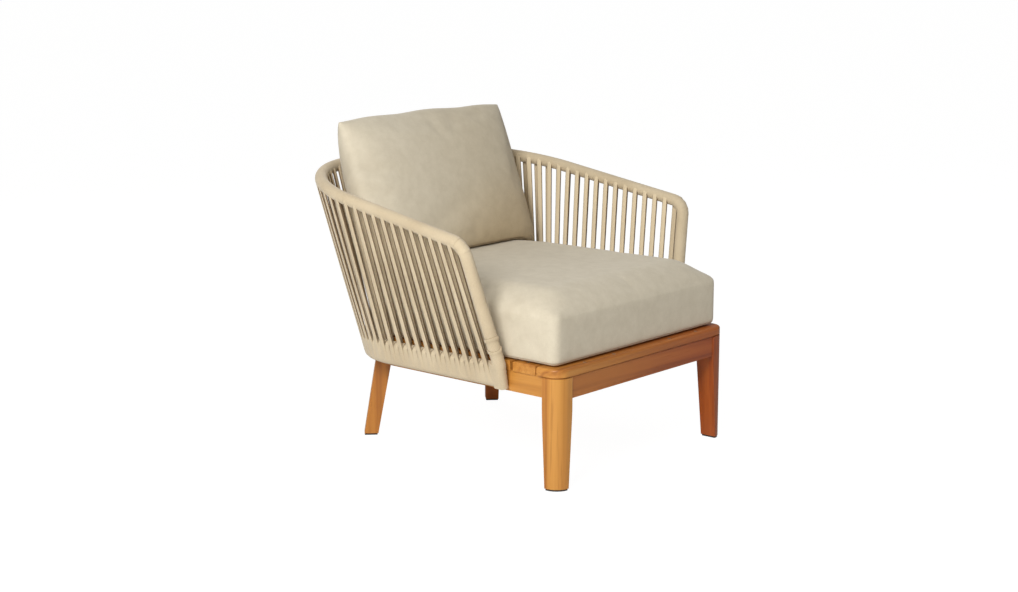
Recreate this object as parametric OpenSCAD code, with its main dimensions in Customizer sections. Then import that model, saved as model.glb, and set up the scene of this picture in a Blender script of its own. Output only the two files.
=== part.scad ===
// Rope-back lounge armchair: a teak base with a slatted seat, a flared shell of
// rope wound in two layers on a bent metal frame, and two loose cushions.
// Millimetres, +Z up, the chair faces -Y. The origin is on the floor, under the
// middle of the chair's overall box. Lengths along Y start at the base's front.

/* [Base] */
// Width over the outer faces of the front legs
base_w = 670; // [620:5:720]
// Depth from the front board's edge to the back of the rear rail
base_d = 702; // [660:2:740]
// Height of the leg tops and the rails above the floor
base_h = 267; // [243:2:301]
// Height of the rails
rail_h = 50; // [42:1:60]
// Thickness of the rails
rail_t = 24; // [20:1:28]
// Setback of the front rail behind the legs' front faces
front_recess = 3; // [1:0.5:6]
// Setback of the side rails inside the legs' outer faces
side_recess = 10; // [8:1:14]
// Angle at which each side rail runs inwards to the back
base_taper = 1; // [0.5:0.25:2]
// Outer radius of the rounded rear corners
base_corner_r = 164; // [150:2:180]

/* [Front legs] */
// Width of a front leg at the rails
leg_w = 51; // [46:1:58]
// Depth of a front leg at the rails
leg_d = 53; // [48:1:60]
// Width of a front leg at the floor
foot_w = 37; // [30:1:42]
// Depth of a front leg at the floor
foot_d = 43; // [34:1:46]
// Radius of the outer vertical corner of the front legs and the front board
corner_r = 36; // [24:1:40]
// Radius of the other vertical edges of the legs
leg_edge_r = 3; // [2:0.5:5]

/* [Rear legs] */
// Width of a rear leg under the corner block, both ways
rear_leg_w = 40; // [36:1:44]
// Width of a rear leg at the floor, both ways
rear_foot_w = 35; // [28:1:36]
// Distance of a rear foot's middle outside the middle of the rear corner's arc
rear_foot_out = 84.5; // [72.5:1:92.5]
// Distance of a rear foot's middle behind the base's back
rear_foot_back = 0; // [-12:1:10]
// Lean of the rear legs, outwards along the diagonal
rear_splay = 10; // [7:0.5:12]

/* [Feet and fastenings] */
// Thickness of the glides under the feet
glide_t = 4; // [3:0.5:6]
// Inset of a glide from the edges of its foot
glide_inset = 1; // [0.5:0.5:3]
// Diameter of the dowels in the rail joints
dowel_d = 10; // [8:1:12]
// Length of the dowels
dowel_l = 44; // [36:2:48]
// Diameter of the bolts that hold the rope shell and the rear legs
bolt_d = 8; // [6:1:8]
// Diameter of a bolt's head
bolt_head_d = 14; // [12:1:16]
// Height of a bolt's head
bolt_head_h = 4.5; // [4:0.5:6]
// Width across the flats of a bolt's socket
socket_w = 5; // [4:0.5:5]
// Depth of a bolt's socket
socket_depth = 3; // [2:0.5:3]
// Outer diameter of the sleeves between the side rails and the shell's bar
sleeve_d = 14; // [12:1:16]
// Diameter of the slat screws
screw_d = 4.5; // [3.5:0.5:5]
// Length of the slat screws
screw_l = 40; // [34:1:46]
// Diameter of a slat screw's head
screw_head_d = 9; // [8:0.5:10]

/* [Seat deck] */
// Depth of the front board
board_d = 68; // [62:1:80]
// Thickness of the front board
board_t = 23; // [20:1:28]
// Height of the shadow groove under the front board's edge
groove_h = 3; // [2:0.5:4]
// Depth of the shadow groove
groove_d = 4; // [2:0.5:5]
// Radius of the front board's top edge
board_edge_r = 6; // [3:0.5:8]
// Width of a slat
slat_w = 70; // [60:1:72]
// Setback of the last slat from the base's back
slat_set = 10; // [4:1:26]
// Thickness of the slats
slat_t = 23; // [18:1:26]
// Radius of the slats' top edges
slat_edge_r = 3; // [1.5:0.5:5]
// Overhang of the slats past the side rails
slat_overhang = 4; // [2:0.5:6]
// Width of the bearer under the slats' middle
bearer_w = 24; // [18:1:30]
// Height of the bearer
bearer_h = 38; // [30:1:46]

/* [Shell frame] */
// Diameter of the bent tube of the posts and the top rail
tube_d = 21; // [18:1:24]
// Wall of the bent tube
tube_wall = 2; // [1.5:0.5:3]
// Thickness of the flat bar round the base
bar_t = 10; // [8:0.5:10]
// Height of the flat bar
bar_h = 52; // [46:1:56]
// Distance from the side rails' faces to the middle of the bar
bar_offset = 19.5; // [18.5:0.5:21]
// Depth of the bar's middle below the tops of the rails
bar_drop = 11; // [3:1:17]
// Lean of the bar, outwards at its top
bar_lean = 14.5; // [12:0.5:15]
// Distance that each arm's front corner stands out beyond the bar, middle to middle
arm_flare = 90.5; // [72.5:1:107.5]
// Height of the arms' front corner above the bar, middle to middle
arm_rise = 316; // [284:2:344]
// Distance of the arms' front corner behind the base's front
arm_y = 206; // [190:2:220]
// Distance of the posts' feet behind the base's front
post_foot_y = 168; // [150:2:180]
// Radius of the bend between a post and its arm
post_bend_r = 42; // [34:1:50]
// Rise of the top rail to the back
rail_rise = 9.76; // [7:0.25:12]
// Angle at which the arms run inwards to the back
arm_taper = 2.4; // [1.5:0.1:3]
// Distance that the top rail's back stands beyond the base's, at the tube's middle
rail_reach = 146; // [118:2:168]
// Radius of the top rail's rear corners
rail_corner_r = 280; // [250:2:300]
// Width of the two flat stays at the back
stay_w = 18; // [14:1:24]
// Thickness of the stays
stay_t = 5; // [4:0.5:5.5]

/* [Rope] */
// Width of the flattened rope
rope_w = 13; // [10:0.5:15]
// Thickness of the rope in the strands and round the tube
rope_t = 5; // [4:0.5:6]
// Thickness of the rope wound round the bar
band_rope_t = 6.5; // [5:0.5:6.5]
// Number of strands in the outer layer
strand_count = 58; // [50:2:60]
// Distance along the top rail from its front corner to the first strand
first_strand = 34; // [30:1:40]

/* [Cushions] */
// Setback of the seat cushion's sides inside the front legs' outer faces
seat_side_gap = 7; // [4:1:24]
// Setback of the seat cushion behind the base's front
seat_front = 16; // [10:1:60]
// Gap between the seat cushion's back edge and the line of the base's back
seat_back_gap = 4; // [2:1:20]
// Thickness of the seat cushion at its edges
seat_t = 132; // [118:2:140]
// Extra thickness of the seat cushion at its crown
seat_crown = 33; // [22:1:36]
// Radius of the seat cushion's front corners and edges
seat_edge_r = 22; // [16:1:30]
// Radius of the seat cushion's rear corners
seat_corner_r = 150; // [140:2:170]
// Setback of the back cushion's sides inside the seat cushion's
back_inset = 25; // [20:1:38]
// Height of the back cushion
back_h = 375; // [345:2:385]
// Swell of the back cushion in front of its seam
back_front = 58; // [44:1:66]
// Swell of the back cushion behind its seam
back_rear = 130.5; // [110:0.5:131]
// Tilt of the back cushion
back_tilt = 19.3; // [18.3:0.2:20.3]
// Setback of the back cushion's lower seam from the base's back
back_set = 89; // [85:1:97]
// Thickness of the cushion covers
cover_t = 2; // [1.5:0.5:3]

/* [Fits] */
// Clearance round the dowels, bolts and screws
fit_gap = 0.1; // [0.05:0.05:0.2]
// Clearance between the rope and what it is wound on
rope_gap = 0.2; // [0.1:0.05:0.3]
// Clearance between the soft parts and their neighbours
soft_gap = 0.3; // [0.2:0.1:0.5]

/* [Hidden] */
SLATS = 8;
$fn = 48;
EPS = 0.01;
FAR = 1000;

teak = "#c17f3b";
dark_teak = "#8a5326";
rope = "#cdbd9f";
fabric = "#c4b8a0";
metal = "#b9b5ac";
black = "#2b2a28";

// Levels of the base
rail_z = base_h - rail_h;
deck_z = base_h + slat_t;
board_z = base_h + board_t;
bar_z = base_h - bar_drop;
arm_z = bar_z + arm_rise;

// Plan of the base: the side's face at a distance y, and its rear corner's arc
function side_x(y) = base_w / 2 - side_recess - (y - leg_d) * tan(base_taper);
corner_y = base_d - base_corner_r;
tangent_y = corner_y + base_corner_r * sin(base_taper);
corner_x = side_x(tangent_y) - base_corner_r * cos(base_taper);
rear_foot_x = corner_x + rear_foot_out;
rear_foot_y = base_d + rear_foot_back;
slat_gap = (base_d - slat_set - board_d - SLATS * slat_w) / SLATS;

// Size and place of the cushions
seat_w = base_w - 2 * seat_side_gap;
back_w = seat_w - 2 * back_inset;
back_y = base_d - back_set;

// The shell's lower line runs round the base at bar_offset; its upper line lies in
// the rail's tilted plane. Both are a straight side, an arc and a straight back.
// A line is [x at the front, angle of the side, arc's x, arc's y, arc's radius].
bar_line = [side_x(post_foot_y) + bar_offset, base_taper, corner_x, corner_y - post_foot_y,
            base_corner_r + bar_offset];
arm_x = bar_line[0] + arm_flare;
rail_back_y = base_d + rail_reach;
back_v = (rail_back_y - arm_y) / cos(rail_rise);
rail_arc_v = back_v - rail_corner_r;
rail_tangent_v = rail_arc_v + rail_corner_r * sin(arm_taper);
rail_arc_x = arm_x - rail_tangent_v * tan(arm_taper) - rail_corner_r * cos(arm_taper);
rail_line = [arm_x, arm_taper, rail_arc_x, rail_arc_v, rail_corner_r];

function side_length(l) = (l[3] + l[4] * sin(l[1])) / cos(l[1]);
function arc_length(l) = l[4] * (90 - l[1]) * PI / 180;
function half_length(l) = side_length(l) + arc_length(l) + l[2];
// Bearing of a line's outward normal, and its point, at part s: 0 to 1 on the side,
// 1 to 2 round the corner and 2 to 3 on the back's half
function normal_at(l, s) = s < 1 ? l[1] : s < 2 ? l[1] + (s - 1) * (90 - l[1]) : 90;
function point_at(l, s) =
    s < 1 ? [l[0] - s * side_length(l) * sin(l[1]), s * side_length(l) * cos(l[1])]
    : s < 2 ? [l[2] + l[4] * cos(normal_at(l, s)), l[3] + l[4] * sin(normal_at(l, s))]
    : [(3 - s) * l[2], l[3] + l[4]];
// Part s at a length d along a line
function part_at(l, d) =
    d < side_length(l) ? d / side_length(l)
    : d < side_length(l) + arc_length(l) ? 1 + (d - side_length(l)) / arc_length(l)
    : 2 + (d - side_length(l) - arc_length(l)) / l[2];

function unit(v) = v / norm(v);
function flat_to_rail(p) =
    [p[0], arm_y + p[1] * cos(rail_rise), arm_z + p[1] * sin(rail_rise)];
function tilt_to_rail(p) = [p[0], p[1] * cos(rail_rise), p[1] * sin(rail_rise)];

// The right half's rail middle and its direction, and the middle of the rope's
// turn over the bar's upper edge
band_t = bar_t + 2 * band_rope_t;
band_h = bar_h + 2 * band_rope_t;
wrap_r = tube_d / 2 + rope_t;
band_axis_up = band_h / 2 - band_t / 2;
function rail_point(s) = flat_to_rail(point_at(rail_line, s));
function rail_way(s) =
    tilt_to_rail([-sin(normal_at(rail_line, s)), cos(normal_at(rail_line, s))]);
function band_point(s, up) =
    let (p = point_at(bar_line, s), a = normal_at(bar_line, s), out = up * sin(bar_lean))
    [p[0] + out * cos(a), post_foot_y + p[1] + out * sin(a), bar_z + up * cos(bar_lean)];
function band_way(s) = [-sin(normal_at(bar_line, s)), cos(normal_at(bar_line, s)), 0];

// The post: from the bar's upper edge to the arm's front corner, with a bend there
post_foot = band_point(0, bar_h / 2);
arm_corner = rail_point(0);
post_way = unit(arm_corner - post_foot);
arm_way = rail_way(0);
post_turn = acos(post_way * arm_way);
bend_run = post_bend_r * tan(post_turn / 2);
post_l = norm(arm_corner - post_foot) - bend_run;
bend_side = unit(arm_way - (arm_way * post_way) * post_way);
arm_start = arm_corner + bend_run * arm_way;
post_slot = 9;

// Collars over the joints of the bent parts
collar_l = 3;
collar_t = 0.08;

// Extra thickness of the rope where it turns round the front ends of the bar
nose_t = 1.2;

overall_d = rail_back_y + wrap_r;

// Moves a piece from the base's front to the middle of the chair
module place() {
    translate([0, -overall_d / 2, 0])
        children();
}

// The right-hand piece, or its mirror image on the left
module on_side(side) {
    mirror([side < 0 ? 1 : 0, 0, 0])
        children();
}

// Turns and moves a piece so that its X, Y and Z follow the three directions
module frame_at(p, x, y, z) {
    multmatrix([[x[0], y[0], z[0], p[0]], [x[1], y[1], z[1], p[1]],
                [x[2], y[2], z[2], p[2]], [0, 0, 0, 1]])
        children();
}

// A rod of radius r along a direction, centred on a point
module rod(p, way, r, l) {
    flat = abs(way[2]) < 0.9 ? [0, 0, 1] : [1, 0, 0];
    x = unit(cross(flat, way));
    frame_at(p, x, cross(way, x), way)
        cylinder(r = r, h = l, center = true);
}

// ---- Base ----

// Quarter of a disc, in the positive quadrant
module quarter(r) {
    intersection() {
        circle(r = r);
        square(r);
    }
}

// Takes the corner off a square end, in the positive quadrant
module corner_cut(r) {
    translate([-r, -r])
        difference() {
            square(r + 1);
            circle(r = r);
        }
}

// Plan of a front leg: square, with one large rounded corner at the outer front
module leg_plan(w, d, inset = 0) {
    x1 = base_w / 2 - inset;
    x0 = base_w / 2 - w + inset;
    y1 = d - inset;
    r = corner_r - inset;
    difference() {
        union() {
            polygon([[x0, inset], [x1 - r, inset], [x1 - r, inset + r], [x1, inset + r],
                     [x1, y1], [x0, y1]]);
            translate([x1 - r, inset + r])
                mirror([0, 1])
                    quarter(r);
        }
        translate([x1, y1])
            corner_cut(leg_edge_r);
        translate([x0, y1])
            mirror([1, 0])
                corner_cut(leg_edge_r);
        translate([x0, inset])
            rotate(180)
                corner_cut(leg_edge_r);
    }
}

// Half-space that planes a leg's inner face from the rails down to the foot
module leg_taper_x() {
    angle = atan((leg_w - foot_w) / rail_z);
    translate([base_w / 2 - leg_w, -leg_d, rail_z])
        rotate([0, -angle, 0])
            translate([-FAR, 0, -FAR])
                cube([FAR, 3 * leg_d, FAR]);
}

module leg_taper_y() {
    angle = atan((leg_d - foot_d) / rail_z);
    translate([0, leg_d, rail_z])
        rotate([-angle, 0, 0])
            translate([0, 0, -FAR])
                cube([base_w, FAR, FAR]);
}

module front_leg(side) {
    color(teak)
        place()
            on_side(side)
                difference() {
                    translate([0, 0, glide_t])
                        linear_extrude(height = base_h - glide_t)
                            leg_plan(leg_w, leg_d);
                    leg_taper_x();
                    leg_taper_y();
                    dowel_holes();
                }
}

module front_glides() {
    color(black)
        place()
            for (side = [-1, 1])
                on_side(side)
                    linear_extrude(height = glide_t)
                        leg_plan(foot_w, foot_d, glide_inset);
}

// A rear leg's own frame: its middle at the floor, turned to the diagonal and leant
module on_rear_leg() {
    translate([rear_foot_x, rear_foot_y, 0])
        rotate([0, 0, 45])
            rotate([0, -rear_splay, 0])
                rotate([0, 0, -90])
                    children();
}

// Plan of a rear leg, with eased corners
module rear_leg_plan(w) {
    difference() {
        square(w, center = true);
        for (turn = [0:90:270])
            rotate(turn)
                translate([w / 2, w / 2])
                    corner_cut(leg_edge_r);
    }
}

module rear_leg(side) {
    slope = atan((rear_leg_w - rear_foot_w) / 2 / rail_z);
    color(teak)
        place()
            on_side(side)
                difference() {
                    rear_leg_body(slope);
                    translate([0, 0, rail_z])
                        linear_extrude(height = FAR)
                            square(2 * FAR, center = true);
                    translate([0, 0, glide_t - FAR])
                        linear_extrude(height = FAR)
                            square(2 * FAR, center = true);
                    rear_bolt_shank(bolt_d / 2 + fit_gap);
                }
}

// The rear leg before its ends are cut level: a prism planed on its four faces
module rear_leg_body(slope) {
    on_rear_leg()
        difference() {
            translate([0, 0, -rear_leg_w])
                linear_extrude(height = base_h + rear_leg_w)
                    rear_leg_plan(rear_leg_w);
            for (turn = [0:90:270])
                rotate([0, 0, turn])
                    translate([rear_leg_w / 2, -FAR / 2, rail_z])
                        rotate([0, slope, 0])
                            translate([0, 0, -FAR])
                                cube([FAR, FAR, FAR]);
        }
}

module rear_glides() {
    color(black)
        place()
            for (side = [-1, 1])
                on_side(side)
                    translate([rear_foot_x, rear_foot_y, 0])
                        rotate([0, 0, 45])
                            linear_extrude(height = glide_t)
                                rear_leg_plan(rear_foot_w - 2 * glide_inset);
}

module front_rail() {
    l = base_w - 2 * leg_w;
    color(teak)
        place()
            difference() {
                translate([-l / 2, front_recess, rail_z])
                    cube([l, rail_t, rail_h]);
                for (side = [-1, 1])
                    on_side(side)
                        dowel_holes();
                screw_holes_board();
            }
}

module side_rail(side) {
    color(teak)
        place()
            on_side(side)
                difference() {
                    translate([0, 0, rail_z])
                        linear_extrude(height = rail_h)
                            polygon([[side_x(leg_d), leg_d], [side_x(corner_y), corner_y],
                                     [side_x(corner_y) - rail_t, corner_y],
                                     [side_x(leg_d) - rail_t, leg_d]]);
                    dowel_holes();
                    screw_holes();
                    shell_bolt_holes();
                }
}

// The corner block turns the side rail into the rear rail, and carries the rear leg
module rear_corner(side) {
    inner_x = side_x(corner_y) - rail_t;
    inner_y = base_d - rail_t;
    color(teak)
        place()
            on_side(side)
                difference() {
                    translate([0, 0, rail_z])
                        linear_extrude(height = rail_h)
                            intersection() {
                                base_plan(0);
                                polygon([[inner_x, corner_y], [FAR, corner_y], [FAR, FAR],
                                         [corner_x, FAR], [corner_x, inner_y]]);
                            }
                    dowel_holes();
                    screw_holes();
                    rear_bolt_shank(bolt_d / 2 + fit_gap);
                    rear_bolt_recess();
                }
}

module rear_rail() {
    color(teak)
        place()
            difference() {
                translate([-corner_x, base_d - rail_t, rail_z])
                    cube([2 * corner_x, rail_t, rail_h]);
                for (side = [-1, 1])
                    on_side(side)
                        dowel_holes();
                shell_bolt_holes_back();
            }
}

// Outline of the base in plan, grown by an overhang
module base_plan(grow) {
    r = base_corner_r + grow;
    a = base_taper;
    edge = [corner_x + r * cos(a), corner_y + r * sin(a)];
    front = [side_x(0) + grow / cos(a), 0];
    union() {
        polygon([[-front[0], 0], front, edge, [corner_x, corner_y + r],
                 [-corner_x, corner_y + r], [-edge[0], edge[1]]]);
        for (side = [-1, 1])
            translate([side * corner_x, corner_y])
                circle(r = r);
    }
}

module centre_bearer() {
    y0 = front_recess + rail_t;
    color(dark_teak)
        place()
            translate([-bearer_w / 2, y0, base_h - bearer_h])
                cube([bearer_w, base_d - rail_t - y0, bearer_h]);
}

// Dowels in the right half: each is [its middle, its direction]
dowel_zs = [rail_z + rail_h / 4, rail_z + 3 * rail_h / 4];
front_dowel_y = front_recess + rail_t / 2;
dowels = [for (z = dowel_zs) each [
    [[base_w / 2 - leg_w, front_dowel_y, z], [1, 0, 0]],
    [[side_x(leg_d) - rail_t / 2, leg_d, z], [0, 1, 0]],
    [[side_x(corner_y) - rail_t / 2, corner_y, z], [0, 1, 0]],
    [[corner_x, base_d - rail_t / 2, z], [1, 0, 0]]]];

module dowel_holes() {
    for (d = dowels)
        rod(d[0], d[1], dowel_d / 2 + fit_gap, dowel_l + 2);
}

module rail_dowels() {
    color(dark_teak)
        place()
            for (side = [-1, 1])
                on_side(side)
                    for (d = dowels)
                        rod(d[0], d[1], dowel_d / 2, dowel_l);
}

// The rear leg's bolt goes down through the corner block, its head sunk in the top
rear_bolt_shift = rail_z * tan(rear_splay) / sqrt(2);
rear_bolt_x = rear_foot_x - rear_bolt_shift;
rear_bolt_y = rear_foot_y - rear_bolt_shift;
rear_bolt_seat = base_h - bolt_head_h - 4;
rear_bolt_end = rail_z - rail_h;

module rear_bolt_shank(r) {
    translate([rear_bolt_x, rear_bolt_y, rear_bolt_end])
        cylinder(r = r, h = rear_bolt_seat - rear_bolt_end);
}

module rear_bolt_recess() {
    translate([rear_bolt_x, rear_bolt_y, rear_bolt_seat])
        cylinder(d = bolt_head_d + 2, h = base_h);
}

module bolt_head() {
    difference() {
        cylinder(d = bolt_head_d, h = bolt_head_h);
        translate([0, 0, bolt_head_h - socket_depth])
            cylinder(d = socket_w / cos(30), h = bolt_head_h, $fn = 6);
    }
}

module rear_leg_bolts() {
    color(metal)
        place()
            for (side = [-1, 1])
                on_side(side)
                    union() {
                        rear_bolt_shank(bolt_d / 2);
                        translate([rear_bolt_x, rear_bolt_y, rear_bolt_seat])
                            bolt_head();
                    }
}

// ---- Seat deck ----

// Section of the front board's edge: x is the distance outwards from the corner's
// middle, y the height over the board's underside
module board_edge(out) {
    difference() {
        square([out, board_t]);
        translate([out - groove_d, -EPS])
            square([groove_d + EPS, groove_h + EPS]);
        translate([out, board_t])
            corner_cut(board_edge_r);
    }
}

module front_board() {
    half = base_w / 2 - corner_r;
    color(teak)
        place()
            translate([0, 0, base_h])
                difference() {
                    union() {
                        translate([-half, corner_r, 0])
                            cube([2 * half, board_d - corner_r, board_t]);
                        translate([-half, corner_r, 0])
                            rotate([90, 0, 90])
                                linear_extrude(height = 2 * half)
                                    mirror([1, 0])
                                        board_edge(corner_r);
                        for (side = [-1, 1])
                            on_side(side) {
                                translate([half, corner_r, 0])
                                    rotate([0, 0, -90])
                                        rotate_extrude(angle = 90)
                                            board_edge(corner_r);
                                translate([half, board_d, 0])
                                    rotate([90, 0, 0])
                                        linear_extrude(height = board_d - corner_r)
                                            board_edge(corner_r);
                            }
                    }
                    translate([0, 0, -base_h])
                        screw_holes_board();
                }
}

function slat_y(i) = board_d + slat_gap + (i - 1) * (slat_w + slat_gap);

// Section of a slat, its top edges eased
module slat_section() {
    difference() {
        square([slat_w, slat_t]);
        translate([slat_w, slat_t])
            corner_cut(slat_edge_r);
        translate([0, slat_t])
            mirror([1, 0])
                corner_cut(slat_edge_r);
    }
}

module slat(i) {
    color(teak)
        place()
            difference() {
                intersection() {
                    translate([-base_w / 2, slat_y(i), base_h])
                        rotate([90, 0, 90])
                            linear_extrude(height = base_w)
                                slat_section();
                    translate([0, 0, base_h - 1])
                        linear_extrude(height = slat_t + 2)
                            base_plan(slat_overhang);
                }
                for (side = [-1, 1])
                    on_side(side)
                        slat_screw(i, fit_gap);
            }
}

// A slat's screw stands over the middle of the rail that carries the slat's end
function outline_x(y) =
    y < tangent_y ? side_x(y)
    : corner_x + sqrt(max(0, base_corner_r * base_corner_r - pow(y - corner_y, 2)));
function screw_y(i) = slat_y(i) + slat_w / 2;

module slat_screw(i, grow) {
    screw(outline_x(screw_y(i)) - rail_t / 2, screw_y(i), deck_z, grow);
}

module screw(x, y, top, grow) {
    r = screw_d / 2 + grow;
    head = (screw_head_d - screw_d) / 2;
    translate([x, y, top - screw_l])
        union() {
            cylinder(r = r, h = screw_l - EPS);
            translate([0, 0, screw_l - head])
                cylinder(r1 = r, r2 = r + head, h = head + (grow > 0 ? EPS : 0));
        }
}

// The board's screws come up through the front rail, clear of the legs
board_screw_xs = [base_w / 6, base_w / 3];

module board_screw(x, grow) {
    screw(x, front_dowel_y, board_z, grow);
}

module screw_holes() {
    for (i = [1:SLATS])
        slat_screw(i, fit_gap);
}

module screw_holes_board() {
    for (side = [-1, 1])
        on_side(side)
            for (x = board_screw_xs)
                board_screw(x, fit_gap);
}

module slat_screws() {
    color(metal)
        place()
            for (side = [-1, 1])
                on_side(side) {
                    for (i = [1:SLATS])
                        slat_screw(i, 0);
                    for (x = board_screw_xs)
                        board_screw(x, 0);
                }
}

// ---- Shell frame ----

// A line's full loop: sides, corners and back. The first child is the section, with
// X outwards and Y up; h holds the front ends back. The second is a slightly stouter
// section, for the collars over the joints of the corners and the back.
module loop(line, h = 0) {
    union() {
        for (side = [-1, 1])
            on_side(side) {
                translate([line[2], line[3], 0])
                    rotate([0, 0, line[1]])
                        union() {
                            translate([line[4], 0, 0])
                                rotate([90, 0, 0])
                                    linear_extrude(height = side_length(line) - h)
                                        children(0);
                            rotate_extrude(angle = 90 - line[1])
                                translate([line[4], 0])
                                    children(0);
                        }
                translate([line[2] - collar_l / 2, line[3] + line[4], 0])
                    rotate([90, 0, 90])
                        linear_extrude(height = collar_l)
                            children(1);
            }
        translate([-line[2], line[3] + line[4], 0])
            rotate([90, 0, 90])
                linear_extrude(height = 2 * line[2])
                    children(0);
    }
}

module ring(r, bore) {
    difference() {
        circle(r = r);
        circle(r = bore);
    }
}

// A post and its bend, of a ring section; short is how far above the post's foot
// the run starts
module post_run(r, bore, short = 0) {
    centre = post_foot + post_l * post_way + post_bend_r * bend_side;
    union() {
        frame_at(centre, -bend_side, post_way, cross(-bend_side, post_way))
            union() {
                rotate_extrude(angle = post_turn)
                    translate([post_bend_r, 0])
                        ring(r, bore);
                translate([post_bend_r, 0, 0])
                    rotate([90, 0, 0])
                        linear_extrude(height = post_l - short)
                            ring(r, bore);
            }
    }
}

// The top rail's loop of a ring section; short is how far beyond the posts' bends
// it starts
module arm_loop(r, bore, short = 0) {
    translate([0, arm_y, arm_z])
        rotate([rail_rise, 0, 0])
            loop(rail_line, bend_run + short) {
                ring(r, bore);
                ring(r + collar_t, bore - collar_t);
            }
}

module bend_collar(r, bore) {
    difference() {
        rod(arm_start, arm_way, r + collar_t, collar_l);
        rod(arm_start, arm_way, bore - collar_t, 2 * collar_l);
    }
}

// The tube's posts are slotted over the ends of the bar
module hoop_tube() {
    color(metal)
        place()
            difference() {
                union() {
                    arm_loop(tube_d / 2, tube_d / 2 - tube_wall);
                    for (side = [-1, 1])
                        on_side(side)
                            union() {
                                post_run(tube_d / 2, tube_d / 2 - tube_wall, -post_slot);
                                bend_collar(tube_d / 2, tube_d / 2 - tube_wall);
                            }
                }
                for (side = [-1, 1])
                    on_side(side)
                        bar_end(bar_t + 2 * fit_gap, bar_h + 2 * fit_gap);
            }
}

// The bar's straight side as a box, longer than the bar at its front
module bar_end(t, h) {
    translate([bar_line[0], post_foot_y, bar_z])
        rotate([0, 0, base_taper])
            rotate([90, 0, 0])
                translate([0, 0, -bar_h])
                    linear_extrude(height = 2 * bar_h)
                        bar_section(t, h);
}

// The leaning section of the bar, or of the rope round it
module bar_section(t, h) {
    rotate(-bar_lean)
        square([t, h], center = true);
}

// The rounded section of the rope round the bar, and its bore
module band_section(t, h, grow) {
    rotate(-bar_lean)
        difference() {
            union() {
                square([t, h - t], center = true);
                for (up = [0, 180])
                    rotate(up)
                        translate([0, (h - t) / 2])
                            intersection() {
                                circle(d = t);
                                translate([-t, 0])
                                    square(2 * t);
                            }
            }
            square([bar_t + 2 * grow, bar_h + 2 * grow], center = true);
        }
}

module on_band() {
    translate([0, post_foot_y, bar_z])
        children();
}

module band_bar() {
    color(metal)
        place()
            difference() {
                on_band()
                    loop(bar_line) {
                        bar_section(bar_t, bar_h);
                        bar_section(bar_t + 2 * collar_t, bar_h + 2 * collar_t);
                    }
                for (side = [-1, 1])
                    on_side(side)
                        shell_bolt_holes();
                shell_bolt_holes_back();
            }
}

// A flat stay between the two layers of rope, from the bar to the tube
stay_part = 2;
stay_foot = band_point(stay_part, bar_h / 2);
stay_head = rail_point(stay_part);
stay_way = unit(stay_head - stay_foot);

module stay_bar(grow) {
    out = cross(-rail_way(stay_part), stay_way);
    frame_at(stay_foot, -rail_way(stay_part), out, stay_way)
        translate([-stay_w / 2 - grow, -stay_t / 2 - grow, rope_gap])
            cube([stay_w + 2 * grow, stay_t + 2 * grow, norm(stay_head - stay_foot)]);
}

module back_stay(side) {
    color(metal)
        place()
            on_side(side)
                difference() {
                    stay_bar(0);
                    rod(stay_head, rail_way(stay_part), tube_d / 2 + fit_gap, 4 * stay_w);
                }
}

// Bolts through the rails into the bar: two each side, under gaps between the slats
// and so clear of their screws, and two at the back
bolt_z = bar_z - 8;
side_bolt_ys = [for (i = [3, 6]) slat_y(i) - slat_gap / 2];
back_bolt_x = corner_x / 2;
function bar_out(z) = bar_offset + (z - bar_z) * tan(bar_lean);
bolt_reach = bar_out(bolt_z) + bar_t / 2 - 1;
sleeve_reach = bar_out(bolt_z);

// A bolt's frame: on the rail's outer face, its Z outwards
module at_side_bolt(y) {
    translate([side_x(y), y, bolt_z])
        rotate([0, 0, base_taper])
            rotate([0, 90, 0])
                children();
}

module at_back_bolt(x) {
    translate([x, base_d, bolt_z])
        rotate([-90, 0, 0])
            children();
}

module bolt_bore() {
    translate([0, 0, -rail_t - 2])
        cylinder(r = bolt_d / 2 + fit_gap, h = rail_t + bolt_reach + 4);
}

module shell_bolt_holes() {
    for (y = side_bolt_ys)
        at_side_bolt(y)
            bolt_bore();
}

module shell_bolt_holes_back() {
    for (side = [-1, 1])
        at_back_bolt(side * back_bolt_x)
            bolt_bore();
}

module shell_bolt() {
    union() {
        translate([0, 0, -rail_t])
            cylinder(d = bolt_d, h = rail_t + bolt_reach);
        translate([0, 0, -rail_t])
            mirror([0, 0, 1])
                bolt_head();
    }
}

module shell_bolts() {
    color(metal)
        place()
            for (side = [-1, 1]) {
                on_side(side)
                    for (y = side_bolt_ys)
                        at_side_bolt(y)
                            shell_bolt();
                at_back_bolt(side * back_bolt_x)
                    shell_bolt();
            }
}

// What lies outside the bar's inner face, at a side and at the back
module beyond_bar(l) {
    rotate([90, 0, 0])
        linear_extrude(height = 2 * l, center = true)
            rotate(-bar_lean)
                translate([-bar_t / 2 - fit_gap, -bar_h])
                    square([2 * bar_h, 2 * bar_h]);
}

module beyond_bar_side() {
    translate([bar_line[0], post_foot_y, bar_z])
        rotate([0, 0, base_taper])
            beyond_bar(base_d);
}

module beyond_bar_back() {
    translate([0, base_d + bar_offset, bar_z])
        rotate([0, 0, 90])
            beyond_bar(base_w);
}

// A sleeve fills the gap from the rail to the leaning bar
module sleeve(r) {
    cylinder(r = r, h = sleeve_reach + bar_t);
}

module all_sleeves(r) {
    for (side = [-1, 1]) {
        on_side(side)
            for (y = side_bolt_ys)
                at_side_bolt(y)
                    sleeve(r);
        at_back_bolt(side * back_bolt_x)
            sleeve(r);
    }
}

module shell_sleeves() {
    color(black)
        place()
            difference() {
                all_sleeves(sleeve_d / 2);
                for (side = [-1, 1])
                    on_side(side)
                        beyond_bar_side();
                beyond_bar_back();
                for (side = [-1, 1])
                    on_side(side)
                        shell_bolt_holes();
                shell_bolt_holes_back();
            }
}

// ---- Rope ----

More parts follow.
